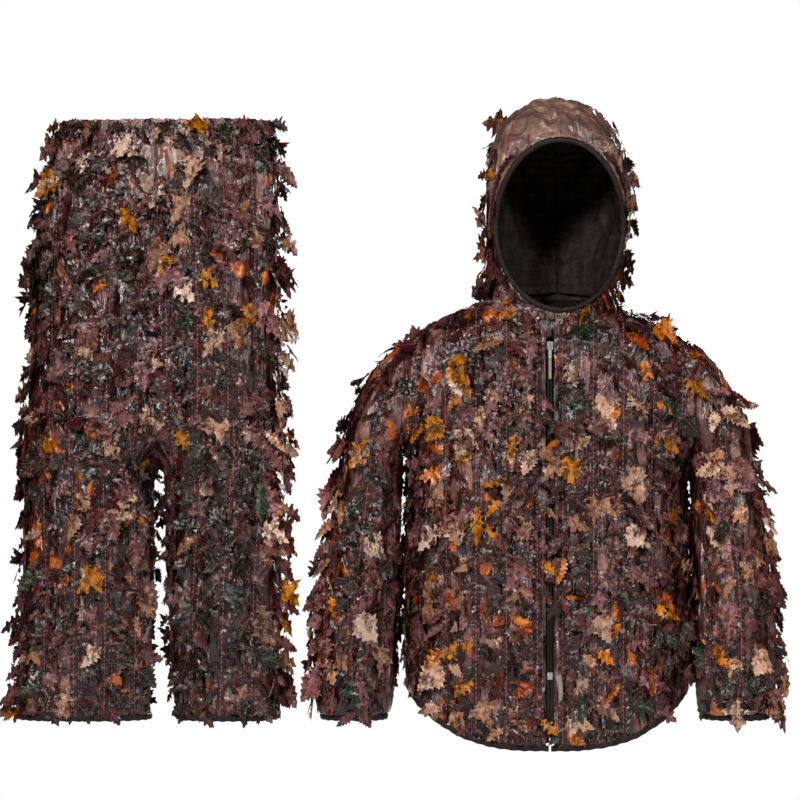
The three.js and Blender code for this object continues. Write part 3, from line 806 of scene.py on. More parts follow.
def leaf_points(spots):
    """Every leaf's points (n, K, 3) and their places in the leaf, from its root, axis, normal and shape."""
    n = len(spots["root"])
    root = spots["root"][:, None]
    sides = np.array(LEAF_SIDES)
    right, left = sides[spots["kind"]], sides[spots["kind_left"]]
    spine = np.linspace(0, 0.94, SIDE_COUNT)
    columns = [(left, -1), (left, -0.5), (left, 0), (right, 0.5), (right, 1)]
    u = np.stack([spine * (1 - abs(share)) + side[..., 0] * abs(share) for side, share in columns], axis=-1)
    v = np.stack([share * side[..., 1] for side, share in columns], axis=-1)
    u = np.concatenate([u.reshape(n, -1), np.ones((n, 1))], axis=1)
    v = np.concatenate([v.reshape(n, -1), np.zeros((n, 1))], axis=1)
    size = spots["size"][:, None]
    v = v * spots["width"][:, None]
    axis, normal = unit(spots["axis"])[:, None], spots["normal"]
    up = unit(normal[:, None] - np.sum(normal[:, None] * axis, axis=-1, keepdims=True) * axis)
    across = np.cross(axis, up)
    turn = (spots["twist"][:, None] * u + spots["roll"][:, None])[..., None]
    aside = across * np.cos(turn) + up * np.sin(turn)
    fall = unit(np.array([0, 0, -0.8]) - 0.2 * normal)[:, None]
    bend = (spots["bend"][:, None] * u**2)[..., None]
    ripple = 0.03 * np.sin(11 * u + spots["phase"][:, None]) * np.abs(v) * 2
    cup = (spots["cup"][:, None] * v**2 + ripple)[..., None]
    reach = (u * (1 - 0.25 * spots["bend"][:, None] * u))[..., None]
    at = root + size[..., None] * (axis * reach + aside * v[..., None] + up * cup + fall * bend)
    sunk = 1.5 - np.sum((at - root) * normal[:, None], axis=-1, keepdims=True)
    at = at + normal[:, None] * np.maximum(sunk, 0)
    return at, np.stack([v, u], axis=-1)


def hold_in(points):
    """Presses tips that would stand too far out of the suit's box back towards it."""
    low, high = ((np.array(corner) - SHIFT) / MM for corner in cad_box)
    spare = 0.03 * (high - low) + 4
    for k in range(3):
        for limit, sign in ((low[k] - spare[k], -1), (high[k] + spare[k], 1)):
            over = np.maximum((points[..., k] - limit) * sign + 8, 0)
            points[..., k] -= sign * (over - 8 * np.tanh(over / 8))
    return points


def leaf_faces(count):
    """The faces of count leaves laid one after another."""
    tip = SIDE_COUNT * 5
    rows = grid_faces(SIDE_COUNT, 5)[:, [0, 3, 2, 1]]
    ends = np.array([[tip - 5 + c, tip - 4 + c, tip] for c in range(4)])
    step = (tip + 1) * np.arange(count)[:, None, None]
    return [face for part in (rows, ends) for face in (part + step).reshape(-1, part.shape[1]).tolist()]


def overlap(p):
    """The rows next to the zip stand further off, so that their leaves can close over it."""
    return 5.0 if abs(p[0]) < 30 and p[1] < -100 and p[2] < -60 else 0.0


def squeezed(p, n):
    """True where the body and a sleeve hang against each other, so that leaves lie flat."""
    inward = abs(n[0]) > 0.6 if abs(p[0]) < 240 else p[0] * n[0] < -80
    return 200 < abs(p[0]) < 275 and p[2] < -225 and inward


class Row:
    """One stitched row of leaves: its line, with the normals and the way down along it."""

    def __init__(self, path, normal):
        self.path, self.normal, self.s = path, normal, lengths(path)
        slope = unit(np.gradient(path, axis=0))
        gravity = np.array([0, 0, -1.0]) - normal * (-normal[:, 2:3])
        falling = np.sign(np.sum(slope * gravity, axis=1, keepdims=True) + 1e-6)
        self.down = unit(0.45 * slope * falling + gravity)

    def at(self, t):
        return (at_lengths(t, self.s, field) for field in (self.path, self.normal, self.down))


def row_leaves(row, rng, tones, fence, pitch, size, fullness):
    """The leaves of one row, most of them in pairs: root, axis, normal, length and tint of each."""
    spots = []
    at = np.arange(rng.uniform(2, 14), row.s[-1] - 8, pitch)
    at = np.clip(at + rng.uniform(-6, 6, len(at)), 0, row.s[-1])
    for t in at:
        p, n, d = row.at(t)
        n, d = unit(n), unit(d)
        sideways = np.cross(n, d)
        for sign in (-1, 1, 0):
            if rng.random() > (fullness if sign else MIDDLE_LEAVES) and not (sign and overlap(p)):
                continue
            if sign:
                droop = math.radians(np.clip(rng.normal(36, 19), -8, 78))
            else:
                droop = math.radians(rng.uniform(62, 118))
            length = rng.uniform(*size) * (1.12 if rng.random() < 0.2 else 1)
            lift = rng.uniform(0.16, 0.62)
            cap = 3 if squeezed(p, n) else 17 if abs(n[1]) > 0.72 else 30
            lift = min(lift, cap / length)
            lean = math.cos(droop) * sideways * (sign or 1) + math.sin(droop) * d
            axis = unit(lean + lift * n)
            root = p + sideways * sign * 5 + n * (2.6 + overlap(p)) + d * rng.uniform(-3, 3)
            length = fence(root, axis, length, n)
            if length < SHORTEST_LEAF:
                continue
            tint = tones(root, rng)
            if tint[0] > 2.6 * tint[1]:
                length = max(0.82 * length, 26)
            spots.append((root, axis, n, length, tint))
    return spots


def row_strip(row, rng):
    """The puckered centre strip of one row, three points wide: points, faces and tints."""
    steps = max(3, int(row.s[-1] / 6))
    t = np.linspace(0, row.s[-1], steps)
    p, n, d = row.at(t)
    side = np.cross(unit(n), unit(d)) * (6.5 + rng.uniform(-1.6, 1.6, steps))[:, None]
    rise_by = 2.0 + 1.1 * np.sin(t * 0.55 + rng.uniform(0, 6)) + rng.uniform(-0.4, 0.4, steps)
    left, right = (n * (1.0 + rng.uniform(0, 2.4, steps))[:, None] for _ in range(2))
    ribbon = np.stack([p - side + left, p + n * rise_by[:, None], p + side + right], axis=1)
    tint = np.repeat(srgb(*PALETTE["umber"]) * rng.uniform(0.4, 1.3, (steps, 1))[:, None], 3, axis=1)
    return ribbon.reshape(-1, 3), grid_faces(steps, 3).tolist(), tint.reshape(-1, 3)


def row_threads(row):
    """The stitches down the middle of one row, each a thin arched ribbon: points, faces and tints."""
    points, faces = [], []
    for start in np.arange(4, row.s[-1] - 8, STITCH_PITCH):
        k = len(points)
        for t, high in ((start, 1.6), (start + 2.7, 3.6), (start + 5.4, 1.6)):
            q, m, w = row.at(t)
            c = unit(np.cross(m, w)) * THREAD_HALF
            points += [q + m * (high + 1.2) - c, q + m * (high + 1.2) + c]
        faces += [[i, i + 1, i + 3, i + 2] for i in (k, k + 2)]
    return np.array(points).reshape(-1, 3), faces, np.full((len(points), 3), 0.5)


def leaf_rows(name, paths, tones, seed, fence, pitch=34.0, size=(32, 58), fullness=0.86):
    """All leaf rows of one panel as one piece: puckered strips, threads, and the leaves on both edges."""
    rng = np.random.default_rng(seed)
    points, faces, colour, slots, spots = [], [], [], [], []

    def add(part, part_faces, tint, slot):
        start = sum(map(len, points))
        points.append(part)
        faces.extend([i + start for i in face] for face in part_faces)
        colour.append(tint)
        slots.extend([slot] * len(part_faces))

    for path, normal in paths:
        row = Row(path, normal)
        spots += row_leaves(row, rng, tones, fence, pitch, size, fullness)
        add(*row_strip(row, rng), 0)
        add(*row_threads(row), 1)
    count = len(spots)
    keys = ("root", "axis", "normal", "size", "colour")
    data = {key: np.array(value) for key, value in zip(keys, zip(*spots))}
    data["kind"] = rng.integers(0, len(LEAF_SIDES), count)
    data["kind_left"] = np.where(rng.random(count) < 0.7, data["kind"],
                                 rng.integers(0, len(LEAF_SIDES), count))
    data["width"] = rng.uniform(0.78, 1.12, count)
    data["bend"] = rng.uniform(0.0, 0.34, count)
    data["twist"] = rng.normal(0, 0.45, count)
    data["roll"] = rng.normal(0, 0.28, count)
    data["cup"] = rng.normal(0.0, 0.55, count)
    data["phase"] = rng.uniform(0, 6.3, count)
    at, where = leaf_points(data)
    uv = np.concatenate([np.tile([0.2, 0.3], (sum(map(len, points)), 1)), where.reshape(-1, 2)])
    add(hold_in(at).reshape(-1, 3), leaf_faces(count), np.repeat(data["colour"], at.shape[1], axis=0), 0)
    return add_mesh(name, np.concatenate(points), faces, [leafy, thread], slots, uv, np.concatenate(colour))


def toner(kind, place=None):
    """Draws a leaf's tint. place(point) may turn the draw towards another list of tones; the tint is then
    scaled by that list's painted light.
    """
    def draw(point, rng):
        tone = (place(point) if place else None) or kind
        weights = TONES[tone]
        names = list(weights)
        share = np.array([weights[k] for k in names], float)
        patch = noise(np.array(point)[None], 75.0, 31)[0]
        for k, name in enumerate(names):
            if name in ("orange", "amber", "rust"):
                share[k] *= 2.1 if patch > 0.15 else 0.45
            elif name in ("pale", "cream", "light"):
                share[k] *= 1.6 if patch < -0.1 else 0.8
        chosen = names[rng.choice(len(names), p=share / share.sum())]
        # Scaled by the region's painted light: darker for painted shade, lighter for painted highlight.
        return np.array(srgb(*PALETTE[chosen])) * rng.uniform(0.8, 1.2) * PAINTED_LIGHT_SCALE[tone]
    return draw


# ---- Camera, light and floor -----------------------------------------------------------------------
def look_from(ob, place, target):
    forward = Vector(target) - Vector(place)
    ob.location = place
    ob.rotation_euler = forward.to_track_quat("-Z", "Y").to_euler()


AIM = (-0.245, -0.086, -0.179)
camera = bpy.data.objects.new("camera", bpy.data.cameras.new("camera"))
camera.data.lens, camera.data.sensor_width = 162.0, 36.0
bpy.context.scene.collection.objects.link(camera)
look_from(camera, (AIM[0], AIM[1] - 6.0, AIM[2]), AIM)
bpy.context.scene.camera = camera

LAMPS = (("key", (-1.9, -3.4, 1.6), 126, 0.7), ("fill", (2.4, -3.0, 0.9), 62, 0.7),
         ("back", (1.0, 3.6, 0.7), 95, 1.0))
for label, place, watts, width in LAMPS:
    lamp = bpy.data.lights.new(label, "AREA")
    lamp.energy, lamp.size = watts, width
    holder = bpy.data.objects.new(label, lamp)
    bpy.context.scene.collection.objects.link(holder)
    look_from(holder, place, AIM)

world = bpy.data.worlds.new("studio")
world.use_nodes = True
soft = world.node_tree.nodes["Background"]
soft.inputs["Color"].default_value, soft.inputs["Strength"].default_value = (1, 1, 1, 1), 0.026
seen = world.node_tree.nodes.new("ShaderNodeBackground")
ray = world.node_tree.nodes.new("ShaderNodeLightPath")
either = world.node_tree.nodes.new("ShaderNodeMixShader")
surface = world.node_tree.nodes["World Output"].inputs[0]
for a, b in ((ray.outputs["Is Camera Ray"], either.inputs[0]), (soft.outputs[0], either.inputs[1]),
             (seen.outputs[0], either.inputs[2]), (either.outputs[0], surface)):
    world.node_tree.links.new(a, b)
seen.inputs["Color"].default_value = (1, 1, 1, 1)
bpy.context.scene.world = world
bpy.context.scene.view_settings.view_transform = "Standard"

floor_paint = make_plain("floor_paint", (0.90, 0.90, 0.895), (0.93, 0.93, 0.925), 3.0, (0.85, 0.95), 0.001)
FLOOR_R, FLOOR_Z = 3000, -1188
turns = np.linspace(0, 2 * math.pi, 97)[:96]
disc = [[FLOOR_R * math.cos(a), FLOOR_R * math.sin(a), FLOOR_Z] for a in turns]
floor = add_mesh("floor", disc, [list(range(96))], [floor_paint])

# ---- Panels and their leaf rows --------------------------------------------------------------------
made = {}


def flat_size(points, along):
    """The size that a smooth panel is cut to: its widest row, its longest column, and its area."""
    width = float((along[:, -1] - along[:, 0]).max())
    length = float(np.linalg.norm(np.diff(points, axis=0), axis=2).sum(axis=0).max())
    a, b, c, d = points[:-1, :-1], points[1:, :-1], points[1:, 1:], points[:-1, 1:]
    halves = (np.linalg.norm(np.cross(p - a, q - a), axis=2) for p, q in ((b, c), (c, d)))
    area = 0.5 * sum(halves).sum()
    flat = (round(width * MM, 3), round(length * MM, 3))
    return flat, min(float(area) * MM * MM, flat[0] * flat[1])


def panel(name, grid, inside, columns, seed, tones, fence, replaces, bare=None, **rows):
    """One cloth panel with its leaf rows: its normals face away from inside, a point for each of its own."""
    points, along = grid
    outward = facing_out(points, inside)
    stand = relief(points, along, columns, seed)
    shaped = points + outward * stand[..., None]
    facing = facing_out(shaped, inside)
    piece = cloth(name, shaped, facing, [camo, lining_cloth])
    paths = []
    for distance in columns:
        found = column_path(shaped, unit(0.6 * outward + 0.4 * facing), along, distance, 9)
        if found is not None:
            covered = ~bare(found[0]) if bare else np.full(len(found[0]), True)
            paths += [(found[0][a:b], found[1][a:b]) for a, b in runs(covered) if b - a > 4]
    leaves = leaf_rows(f"leaves_{name}", paths, tones, seed, fence, **rows)
    settle(piece, replaces[0])
    settle(leaves, replaces[1])
    flat, area = flat_size(points, along)
    made[name] = dict(piece=piece, leaves=leaves, points=shaped, normal=facing, flat=flat, area=area,
                      extra=[leaves])


def spaced(first, last, step=50.0):
    """Where the leaf rows of a panel are, along its width."""
    return np.arange(first, last, step)


def over_pull(root, axis, length):
    """True where a leaf would hang in the way of the zip's pull when it is turned up."""
    tip = root + axis * length
    low, high = sorted((root[0], tip[0]))
    return low < 14 and high > -14 and min(root[2], tip[2]) < -12 and root[1] < -60


def stop_above(low, root, axis, length):
    """The length at which a leaf's tip would hang no lower than that."""
    return (root[2] - low) / -axis[2] if root[2] + axis[2] * length < low else length


def body_fence(root, axis, length, normal):
    """Keeps leaves off the zip and a patch under the throat, short of the hem and out of the hood, and thins
    them on the shoulders.
    """
    x, _, z = root
    if z > -135 and abs(x) > 95 and noise(root, 14.0, 77) > (-0.32 if normal[2] > 0.35 else 0.02):
        return 0
    if z < -62 and 10 < x < 92 and z + 110 > abs(x - 55) * 0.6 and normal[1] < 0:
        return 0
    side = 1 if x > 0 else -1
    reach = x * side + axis[0] * side * length
    if abs(x) < 70 and normal[1] < -0.5:
        step = -axis[0] * side
        free = 14 if -142 < z < -50 or -668 < z < -496 else 0
        if free and reach < free:
            length = (abs(x) - free) / step if step > 0.05 else 0
        elif reach < 8 and FRONT - root[1] - axis[1] * (abs(x) - 5) / step < 9:
            length = (abs(x) - 8) / step
        elif reach < -12:
            length = (abs(x) + 12) / step
    length = stop_above(hem_height(x) + 2, root, axis, length)
    if z > NECK_Z and hood.field(*(root + axis * length)[:2], min(z, 330.0)) < 4:
        return 0
    return length


# Painted shade: the body's sides, beside the sleeves, draw darker tints.
def front_tones(point):
    x, _, z = point
    if x > 205 or x < -205:
        return "dark"
    return "front" if -640 < z < -90 else None


def build_body():
    for (side, sign), seed in zip(SIDES, (101, 102)):
        grid = front_grid(sign)
        panel(f"jacket_front_{side}_cloth", grid, np.array([0, 40, 0]) + grid[0] * [0, 0, 1],
              np.append(spaced(21, 330), 245), seed, toner("front", front_tones), body_fence,
              ([f"jacket_front_{side}"], [f"leaf_row_front_{side}_{k}" for k in (1, 2, 3)]))
    grid = back_grid()
    panel("jacket_back_cloth", grid, np.array([0, -60, 0]) + grid[0] * [0, 0, 1], spaced(-275, 300), 103,
          toner("front"), body_fence, (["jacket_back"], [f"leaf_row_back_{k}" for k in (1, 2, 3, 4)]))


def build_sleeves():
    for (side, sign), seed in zip(SIDES, (111, 112)):

        def fence(root, axis, length, normal):
            length = stop_above(CUFF - 22, root, axis, length)
            if sign * (root[0] + axis[0] * length) < ARMHOLE - 4:
                return 0
            if root[2] > -205 and sign * normal[0] + normal[2] > 0.6 and noise(root, 14.0, 79) > -0.3:
                return 0
            return length

        grid = sleeve_grid(side, sign)
        centre = grid[0].mean(axis=1, keepdims=True) - np.array([sign * 12, 0, 0])
        # Painted light: the sleeves draw darker tints (painted shade), and their outer edges and most of the
        # wearer's left sleeve draw paler ones (painted highlight).
        kind = toner("dark", lambda p: ("pale" if p[0] * sign > 330 or side == "left" and p[2] > -600
                                        else None))
        panel(f"sleeve_{side}_cloth", grid, centre, spaced(-200, 225), seed, kind, fence,
              ([f"sleeve_{side}"], [f"leaf_row_sleeve_{side}_front_1", f"leaf_row_sleeve_{side}_back_1"]))


def hood_front_top(p):
    """True over the front of the hood's top, which has no leaf rows."""
    return (p[:, 2] > 222 + 0.25 * np.abs(p[:, 0] - HOOD_LEAN)) & (p[:, 1] < 20) | (p[:, 2] > 296)


def build_hood():
    for (side, sign), seed, rows in zip(SIDES, (121, 122), (2, 1)):

        def fence(root, axis, length, normal):
            tip = root + axis * length
            if over_pull(root, axis, length):
                return 0
            opening = ((tip[0] - FACE_X) / (FACE_W + 3)) ** 2 + ((tip[2] - FACE_Z) / (FACE_H + 3)) ** 2
            if opening < 1 and tip[1] < -20 or sign * (root[0] - HOOD_LEAN) < 3 and normal[2] < 0.9:
                return 0
            if root[2] < 24 and torso.field(tip[0], tip[1], max(min(tip[2], 8), -700)) < 0:
                return 0
            return min(length, 52)

        grid = hood_grid(sign)
        z = grid[0][..., 2]
        middle = np.stack([np.full(z.shape, HOOD_LEAN), np.zeros(z.shape), np.minimum(z, 190)], axis=-1)
        panel(f"hood_{side}_cloth", grid, middle, spaced(24, 330, 54), seed, toner("front"), fence,
              ([f"hood_{side}"], [f"leaf_row_hood_side_{rows}", f"leaf_row_hood_back_{rows}"]),
              bare=hood_front_top, pitch=46.0, size=(30, 50), fullness=0.66)


def build_trousers():
    for (side, sign), seed, rows in zip(SIDES, (131, 132), (2, 1)):

        def fence(root, axis, length, normal):
            if sign * normal[0] < -0.8:
                length = min(length, 30)
            return stop_above(LEG_CLOTH_BOTTOM - 26, root, axis, length)

        grid = trouser_grid(side, sign)
        # Painted light: the trousers draw darker tints (painted shade), darkest on the wearer's left leg
        # below the rise, and paler ones on that leg's outer edge (painted highlight).
        kind = toner("dark", lambda p: ("pale" if p[0] > CROTCH_X + 165 else
                                        "deep" if p[0] > CROTCH_X and p[2] < -240 else None))
        centre = grid[0].mean(axis=1, keepdims=True)
        half_rise = "trouser_rise_front" if sign > 0 else "trouser_rise_back"
        panel(f"trousers_{side}_cloth", grid, centre, spaced(-275, 300), seed, kind, fence,
              ([f"leg_{side}_front", f"leg_{side}_back", half_rise],
               [f"leaf_row_leg_{side}_front_1", f"leaf_row_leg_{side}_front_2", f"leaf_row_leg_{side}_back_1",
                f"leaf_row_rise_front_{rows}", f"leaf_row_rise_back_{rows}"]))


# ---- Bound and gathered edges ----------------------------------------------------------------------
def gathered(name, path, outward, along_edge, half_high, half_thick, closed, pleat, seed, replaces, depth=0.3,
             sides=12):
    """An elastic edge: a soft flat tube that follows a path, drawn up in small uneven pleats."""
    s = lengths(path)
    count = int(s[-1] / 1.7)
    t = np.linspace(0, s[-1], count + (1 if closed else 0))[:count]
    p, n, e = (at_lengths(t, s, f) for f in (path, outward, along_edge))
    n, e = unit(n), unit(e)
    phase = 2 * math.pi * t / pleat + 2.2 * noise(p, 26.0, seed)
    fold = np.sin(phase) * (0.7 + 0.5 * noise(p, 17.0, seed + 1))
    ring = []
    for a in np.linspace(0, 2 * math.pi, sides, endpoint=False):
        c, w = math.cos(a), math.sin(a)
        swell = 1 + depth * fold * (0.6 + 0.4 * abs(c))
        high = half_high * (1 + 0.10 * np.sin(phase * 0.5 + a))
        ring.append(p + n * (half_thick * c * swell)[:, None] + e * (high * w)[:, None])
    points = np.stack(ring, axis=1)
    rows = len(points)
    faces = (grid_faces(rows + closed, sides, closed=True) % (rows * sides)).tolist()
    if not closed:
        faces += [list(range(sides))[::-1], [(rows - 1) * sides + k for k in range(sides)]]
    ob = add_mesh(name, points, faces, [binding_cloth])
    clean(ob)
    settle(ob, replaces)
    return ob


DOWN, FORWARD = np.array([0, 0, -1.0]), np.array([0, -1.0, 0])


def soften(path, times):
    """Rounds a line's corners off, between its two ends."""
    for _ in range(times):
        path[1:-1] = (path[:-2] + 2 * path[1:-1] + path[2:]) / 4


def build_edges():
    """The elastic of the shirt-tail hem, the cuffs and the leg hems."""
    # The hem runs along the lowest row of the three body panels, from one side of the zip to the other.
    right, back, left = ([made[f"jacket_{part}_cloth"][key][-1] for key in ("points", "normal")]
                         for part in ("front_right", "back", "front_left"))
    if back[0][0, 0] > back[0][-1, 0]:
        back = [line[::-1] for line in back]
    path, out = (np.concatenate([right[k], back[k][1:-1], left[k][::-1]]) for k in (0, 1))
    soften(path, 3)
    path[[0, -1], 0] *= 0.3  # its two ends nearly meet in front of the zip's foot
    slope = unit(np.gradient(path, axis=0))
    along = unit(DOWN - slope * (slope @ DOWN)[:, None])
    hem = gathered("jacket_hem_elastic", path + along * 2, out, along, 5.0, 2.4, False, 10.0, 201,
                   ["jacket_hem_binding"])
    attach(hem, "root")
    made["jacket_back_cloth"]["extra"].append(hem)

    turn = np.linspace(0, 2 * math.pi, 200)
    for side in ("left", "right"):
        for shape, group, low, node in ((sleeves[side], "sleeve", CUFF - 9.5, "cuff_binding"),
                                        (legs[side], "trousers", -694.0, "leg_hem_binding")):
            a, b, cy, cx = shape.section(low)
            path = shape.ring(turn, low, -0.5) + [0, 0, 1.5]
            out = unit(unit(path - [cx, cy, low + 1.5]) * [1 / a, 1 / b, 0])
            ob = gathered(f"{node}_elastic_{side}", path, out, np.tile(DOWN, (200, 1)), 5.5, 2.4, True, 8.5,
                          210, [f"{node}_{side}"])
            made[f"{group}_{side}_cloth"]["extra"].append(ob)
            made[f"{group}_{side}_cloth"]["edge"] = ob


def build_waistband():
    """The elastic casing: a band gathered on two rows of elastic, open at its top and bottom edges."""
    count = 760
    turn = np.linspace(0, 2 * math.pi, count, endpoint=False)
    rows = []
    for share in np.linspace(0, 1, 15):
        z = WAIST_TOP - BAND + 0.4 + (BAND - 0.4) * share
        _, _, cy, cx = rise.section(z)
        channel = -1.3 * sum(math.exp(-(((share - c) / 0.06) ** 2)) for c in (0.08, 0.5, 0.92))
        base = rise.ring(turn, z)
        s = lengths(base)
        wander = 2.6 * noise(base * [1, 1, 0.25], 24.0, 301)
        fold = np.sin(2 * math.pi * s / 11.5 + wander) * (1.5 - 0.8 * abs(channel))
        fold = fold + 1.3 * noise(base, 9.0, 303)
        out = unit(base - [cx, cy, z])
        base = base + out * (fold + channel + 1.2)[:, None]
        wave = 0.7 * np.sin(2 * math.pi * s / 23 + wander) + 1.6 * noise(base * [1, 1, 0], 60.0, 305)
        base[:, 2] += share * wave
        rows.append(base)
    points = np.array(rows)
    points = np.concatenate([points, points[:, :1]], axis=1)
    facing = facing_out(points, points.mean(axis=1, keepdims=True))
    ob = cloth("waistband_elastic", points, facing, [camo, lining_cloth], thick=3.0)
    clean(ob, weld=True)
    settle(ob, ["waistband"])
    paths = [(points[::-1, k], facing[::-1, k]) for k in range(9, count, 21)]
    free = lambda root, axis, length, normal: length
    # Its leaves draw darker tints: painted shade.
    leaves = leaf_rows("leaves_waistband", paths, toner("dark"), 133, free, pitch=24.0, size=(28, 50),
                       fullness=0.66)
    settle(leaves, [])
    for piece in (ob, leaves):
        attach(piece, "root")
        made["trousers_left_cloth"]["extra"].append(piece)


def build_face_edge():
    """The gathered elastic round the face opening."""
    turn = np.linspace(0, 2 * math.pi, 400)
    path, out = [], []
    for a in turn:
        x, z = FACE_X + FACE_W * math.cos(a), FACE_Z + FACE_H * math.sin(a)
        path.append([x, hood.front(x, z), z])
        out.append([math.cos(a) / FACE_W, 0, math.sin(a) / FACE_H])
    path, out = np.array(path), unit(np.array(out))
    soften(path, 6)
    slope = unit(np.gradient(path, axis=0))
    out = unit(out - slope * np.sum(out * slope, axis=1, keepdims=True))
    ob = gathered("face_elastic", path, np.cross(slope, out), out, 4.8, 3.6, True, 5.2, 220, ["face_binding"],
                  depth=0.2)
    made["hood_left_cloth"]["extra"].append(ob)
    return ob


def neck_line(turn):
    """Where the hood's wall meets the jacket's shoulders, at an angle round the hood."""
    zs = np.linspace(NECK_Z, 12, 90)
    gaps = [float(torso.field(*hood.ring(np.array([turn]), z)[0])) for z in zs]
    for k in range(1, len(zs)):
        if gaps[k] > 0 >= gaps[k - 1]:
            return zs[k]
    return zs[0] if gaps[0] > 0 else zs[-1]


def build_neck():
    """The band of doubled cloth that joins the hood to the jacket, and the leaf rows sewn to it."""
    turn = np.linspace(0, 2 * math.pi, 361)
    base = np.array([neck_line(a) for a in turn])
    for _ in range(12):
        base = (np.roll(base[:-1], 1) + base[:-1] + np.roll(base[:-1], -1)) / 3
        base = np.append(base, base[0])
    rows = []
    for share in np.linspace(0, 1, 7):
        p = hood.ring(turn, base - 7 + share * (COLLAR + 16), 1.4 + 1.6 * math.sin(math.pi * share))
        crease = 0.9 * noise(p * [1, 1, 0.4], 9.0, 401) + 0.8 * noise(p, 22.0, 402)
        rows.append(p + unit(p - [HOOD_LEAN / 3, 0, 0] - p * [0, 0, 1]) * crease[:, None])
    points = np.array(rows)
    facing = facing_out(points, points.mean(axis=1, keepdims=True))
    ob = cloth("neck_band_cloth", points, facing, [camo, lining_cloth], thick=1.6)
    clean(ob, weld=True)
    settle(ob, ["neck_band"])

    def fence(root, axis, length, normal):
        for share in (1.0, 0.85, 0.7):
            tip = root + axis * length * share
            in_view = tip[1] < -60 and -26 < tip[0] < 96 and tip[2] < -50
            clear = torso.field(tip[0], tip[1], min(tip[2], 8)) > 3
            if clear and not in_view and not over_pull(root, axis, length * share):
                return length * share
        return 0

    paths = [(points[::-1, k], facing[::-1, k]) for k in range(5, 361, 15)]
    leaves = leaf_rows("leaves_neck_band", paths, toner("front"), 134, fence, pitch=17.0, size=(28, 48))
    settle(leaves, [])
    for piece in (ob, leaves):
        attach(piece, "root")
    flat, area = flat_size(points, np.array([lengths(row) for row in points]))


def build_throat_tab():
    """A small dark gusset of lining cloth, puckered, at the wearer's left of the throat. Its near-black
    colour is also painted shadow, for the shade inside the fold there.
    """
    count = 22
    u, v = np.meshgrid(np.linspace(0, 1, count), np.linspace(0, 1, count), indexing="ij")
    corners = np.array([[22.0, -64.0], [62.0, -70.0], [86.0, -42.0], [66.0, -40.0]])
    shares = [(1 - u) * (1 - v), u * (1 - v), u * v, (1 - u) * v]
    xz = sum(share[..., None] * corner for share, corner in zip(shares, corners))
    points = np.array([[[x, torso.front(x, z), z] for x, z in row] for row in xz])
    bulge = 1.6 + 3.2 * (np.sin(math.pi * u) * np.sin(math.pi * v)) ** 0.6
    points[..., 1] -= bulge + 0.9 * noise(points, 8.0, 411)
    ob = cloth("throat_gusset", points, np.broadcast_to(FORWARD, points.shape), [tab_shadow_cloth, tab_shadow_cloth],
               thick=1.6)
    settle(ob, ["throat_tab"], "root")


# ---- Zip -------------------------------------------------------------------------------------------
ZIP_FACE = FRONT + 0.7
ZIP_TOP, ZIP_BOTTOM, TAPE_BOTTOM, TOOTH_PITCH = -69, -612, -728, 3.0


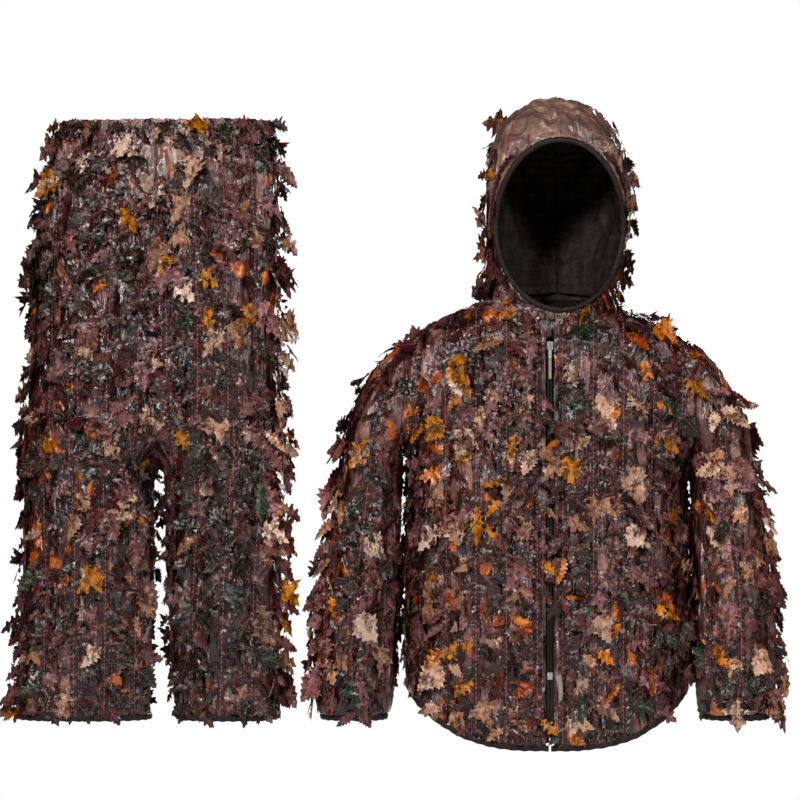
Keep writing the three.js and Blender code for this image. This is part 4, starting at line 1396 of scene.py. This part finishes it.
def build_zip():
    outline_xz = [(0.7, -0.5), (1.5, -0.8), (3.2, -1.0), (3.2, 1.0), (1.5, 0.8), (0.7, 0.5)]
    for side, sign in SIDES:
        points, faces = [], []
        for k in range(int((ZIP_TOP - ZIP_BOTTOM) / TOOTH_PITCH)):
            z = ZIP_BOTTOM + 1.1 + TOOTH_PITCH * k + (TOOTH_PITCH / 2 if sign > 0 else 0)
            if z > ZIP_TOP - 1:
                continue
            base = len(points)
            for y in (ZIP_FACE + 0.5, ZIP_FACE + 2.9):
                points += [[sign * x, y, z + dz] for x, dz in outline_xz]
            faces += [[base + i for i in range(6)], [base + 6 + i for i in range(6)][::-1]]
            ring = [(base + i, base + (i + 1) % 6) for i in range(6)]
            faces += [[i, j, j + 6, i + 6] for i, j in ring]
        teeth = add_mesh(f"teeth_{side}", points, faces, [dark_metal], smooth=False)
        clean(teeth)
        settle(teeth, [f"zip_teeth_{side}"], "root")

        zs = np.arange(TAPE_BOTTOM, ZIP_TOP + 1, 3.0)
        xs = np.linspace(0.6, 17, 7)
        y = lambda x, z: ZIP_FACE + 4.4 + 0.35 * math.sin(z * 0.21 + x * 0.3)
        grid = np.array([[[sign * x, y(x, z), z] for x in xs] for z in zs])
        band = cloth(f"tape_{side}", grid, np.broadcast_to(FORWARD, grid.shape), [tape, tape], thick=0.7)
        settle(band, [f"zip_tape_{side}"], "root")

    for name in ("zip_retainer_box", "zip_slider", "zip_pull", "zip_pull_strip", "hang_loop"):
        ob = nodes[name]
        soft = name in ("zip_pull_strip", "hang_loop")
        ob.data.materials.clear()
        ob.data.materials.append(webbing if soft else metal)
        edge = ob.modifiers.new("worn edges", "BEVEL")
        edge.width, edge.segments, edge.limit_method = (0.5 if soft else 0.3) * MM, 2, "ANGLE"


def build_tail():
    """A pale strip at the foot of the zip, where the fronts begin to part, shaped as the tape's turned-back
    ends: a painted highlight, for the thin white glint there.
    """
    rows = []
    for share in np.linspace(0, 1, 16):
        z = ZIP_BOTTOM - 4 - 44 * share
        x = 13 + 3.5 * share + 2 * math.sin(share * 3)
        y = FRONT - 5.5 - 4 * math.sin(share * math.pi) - 1.5 * share
        half = 4.6 - 1.6 * share
        rows.append([[x + half * c, y - 0.8 * (1 - c * c), z + 2 * c] for c in np.linspace(-1, 1, 5)])
    points = np.array(rows)
    ob = cloth("zip_foot_painted_glint", points, np.broadcast_to(FORWARD, points.shape), [webbing, webbing], thick=0.8)
    settle(ob, [], "root")


# ---- Assembly --------------------------------------------------------------------------------------
build_body()
build_sleeves()
build_hood()
build_trousers()
build_edges()
build_waistband()
face_elastic = build_face_edge()
build_neck()
build_throat_tab()
build_zip()
build_tail()

for name in ("jacket_front_left_cloth", "jacket_front_right_cloth", "jacket_back_cloth"):
    for ob in (made[name]["piece"], made[name]["leaves"]):
        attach(ob, "root")
for side, sign in SIDES:
    sleeve = made[f"sleeve_{side}_cloth"]
    for ob in (sleeve["piece"], sleeve["leaves"], sleeve["edge"]):
        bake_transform(ob)
    half = made[f"trousers_{side}_cloth"]
    for ob in (half["piece"], half["leaves"], half["edge"]):
        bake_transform(ob)
    cap = made[f"hood_{side}_cloth"]
    for ob in (cap["piece"], cap["leaves"]):
        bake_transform(ob)
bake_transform(face_elastic)

bpy.context.view_layer.update()
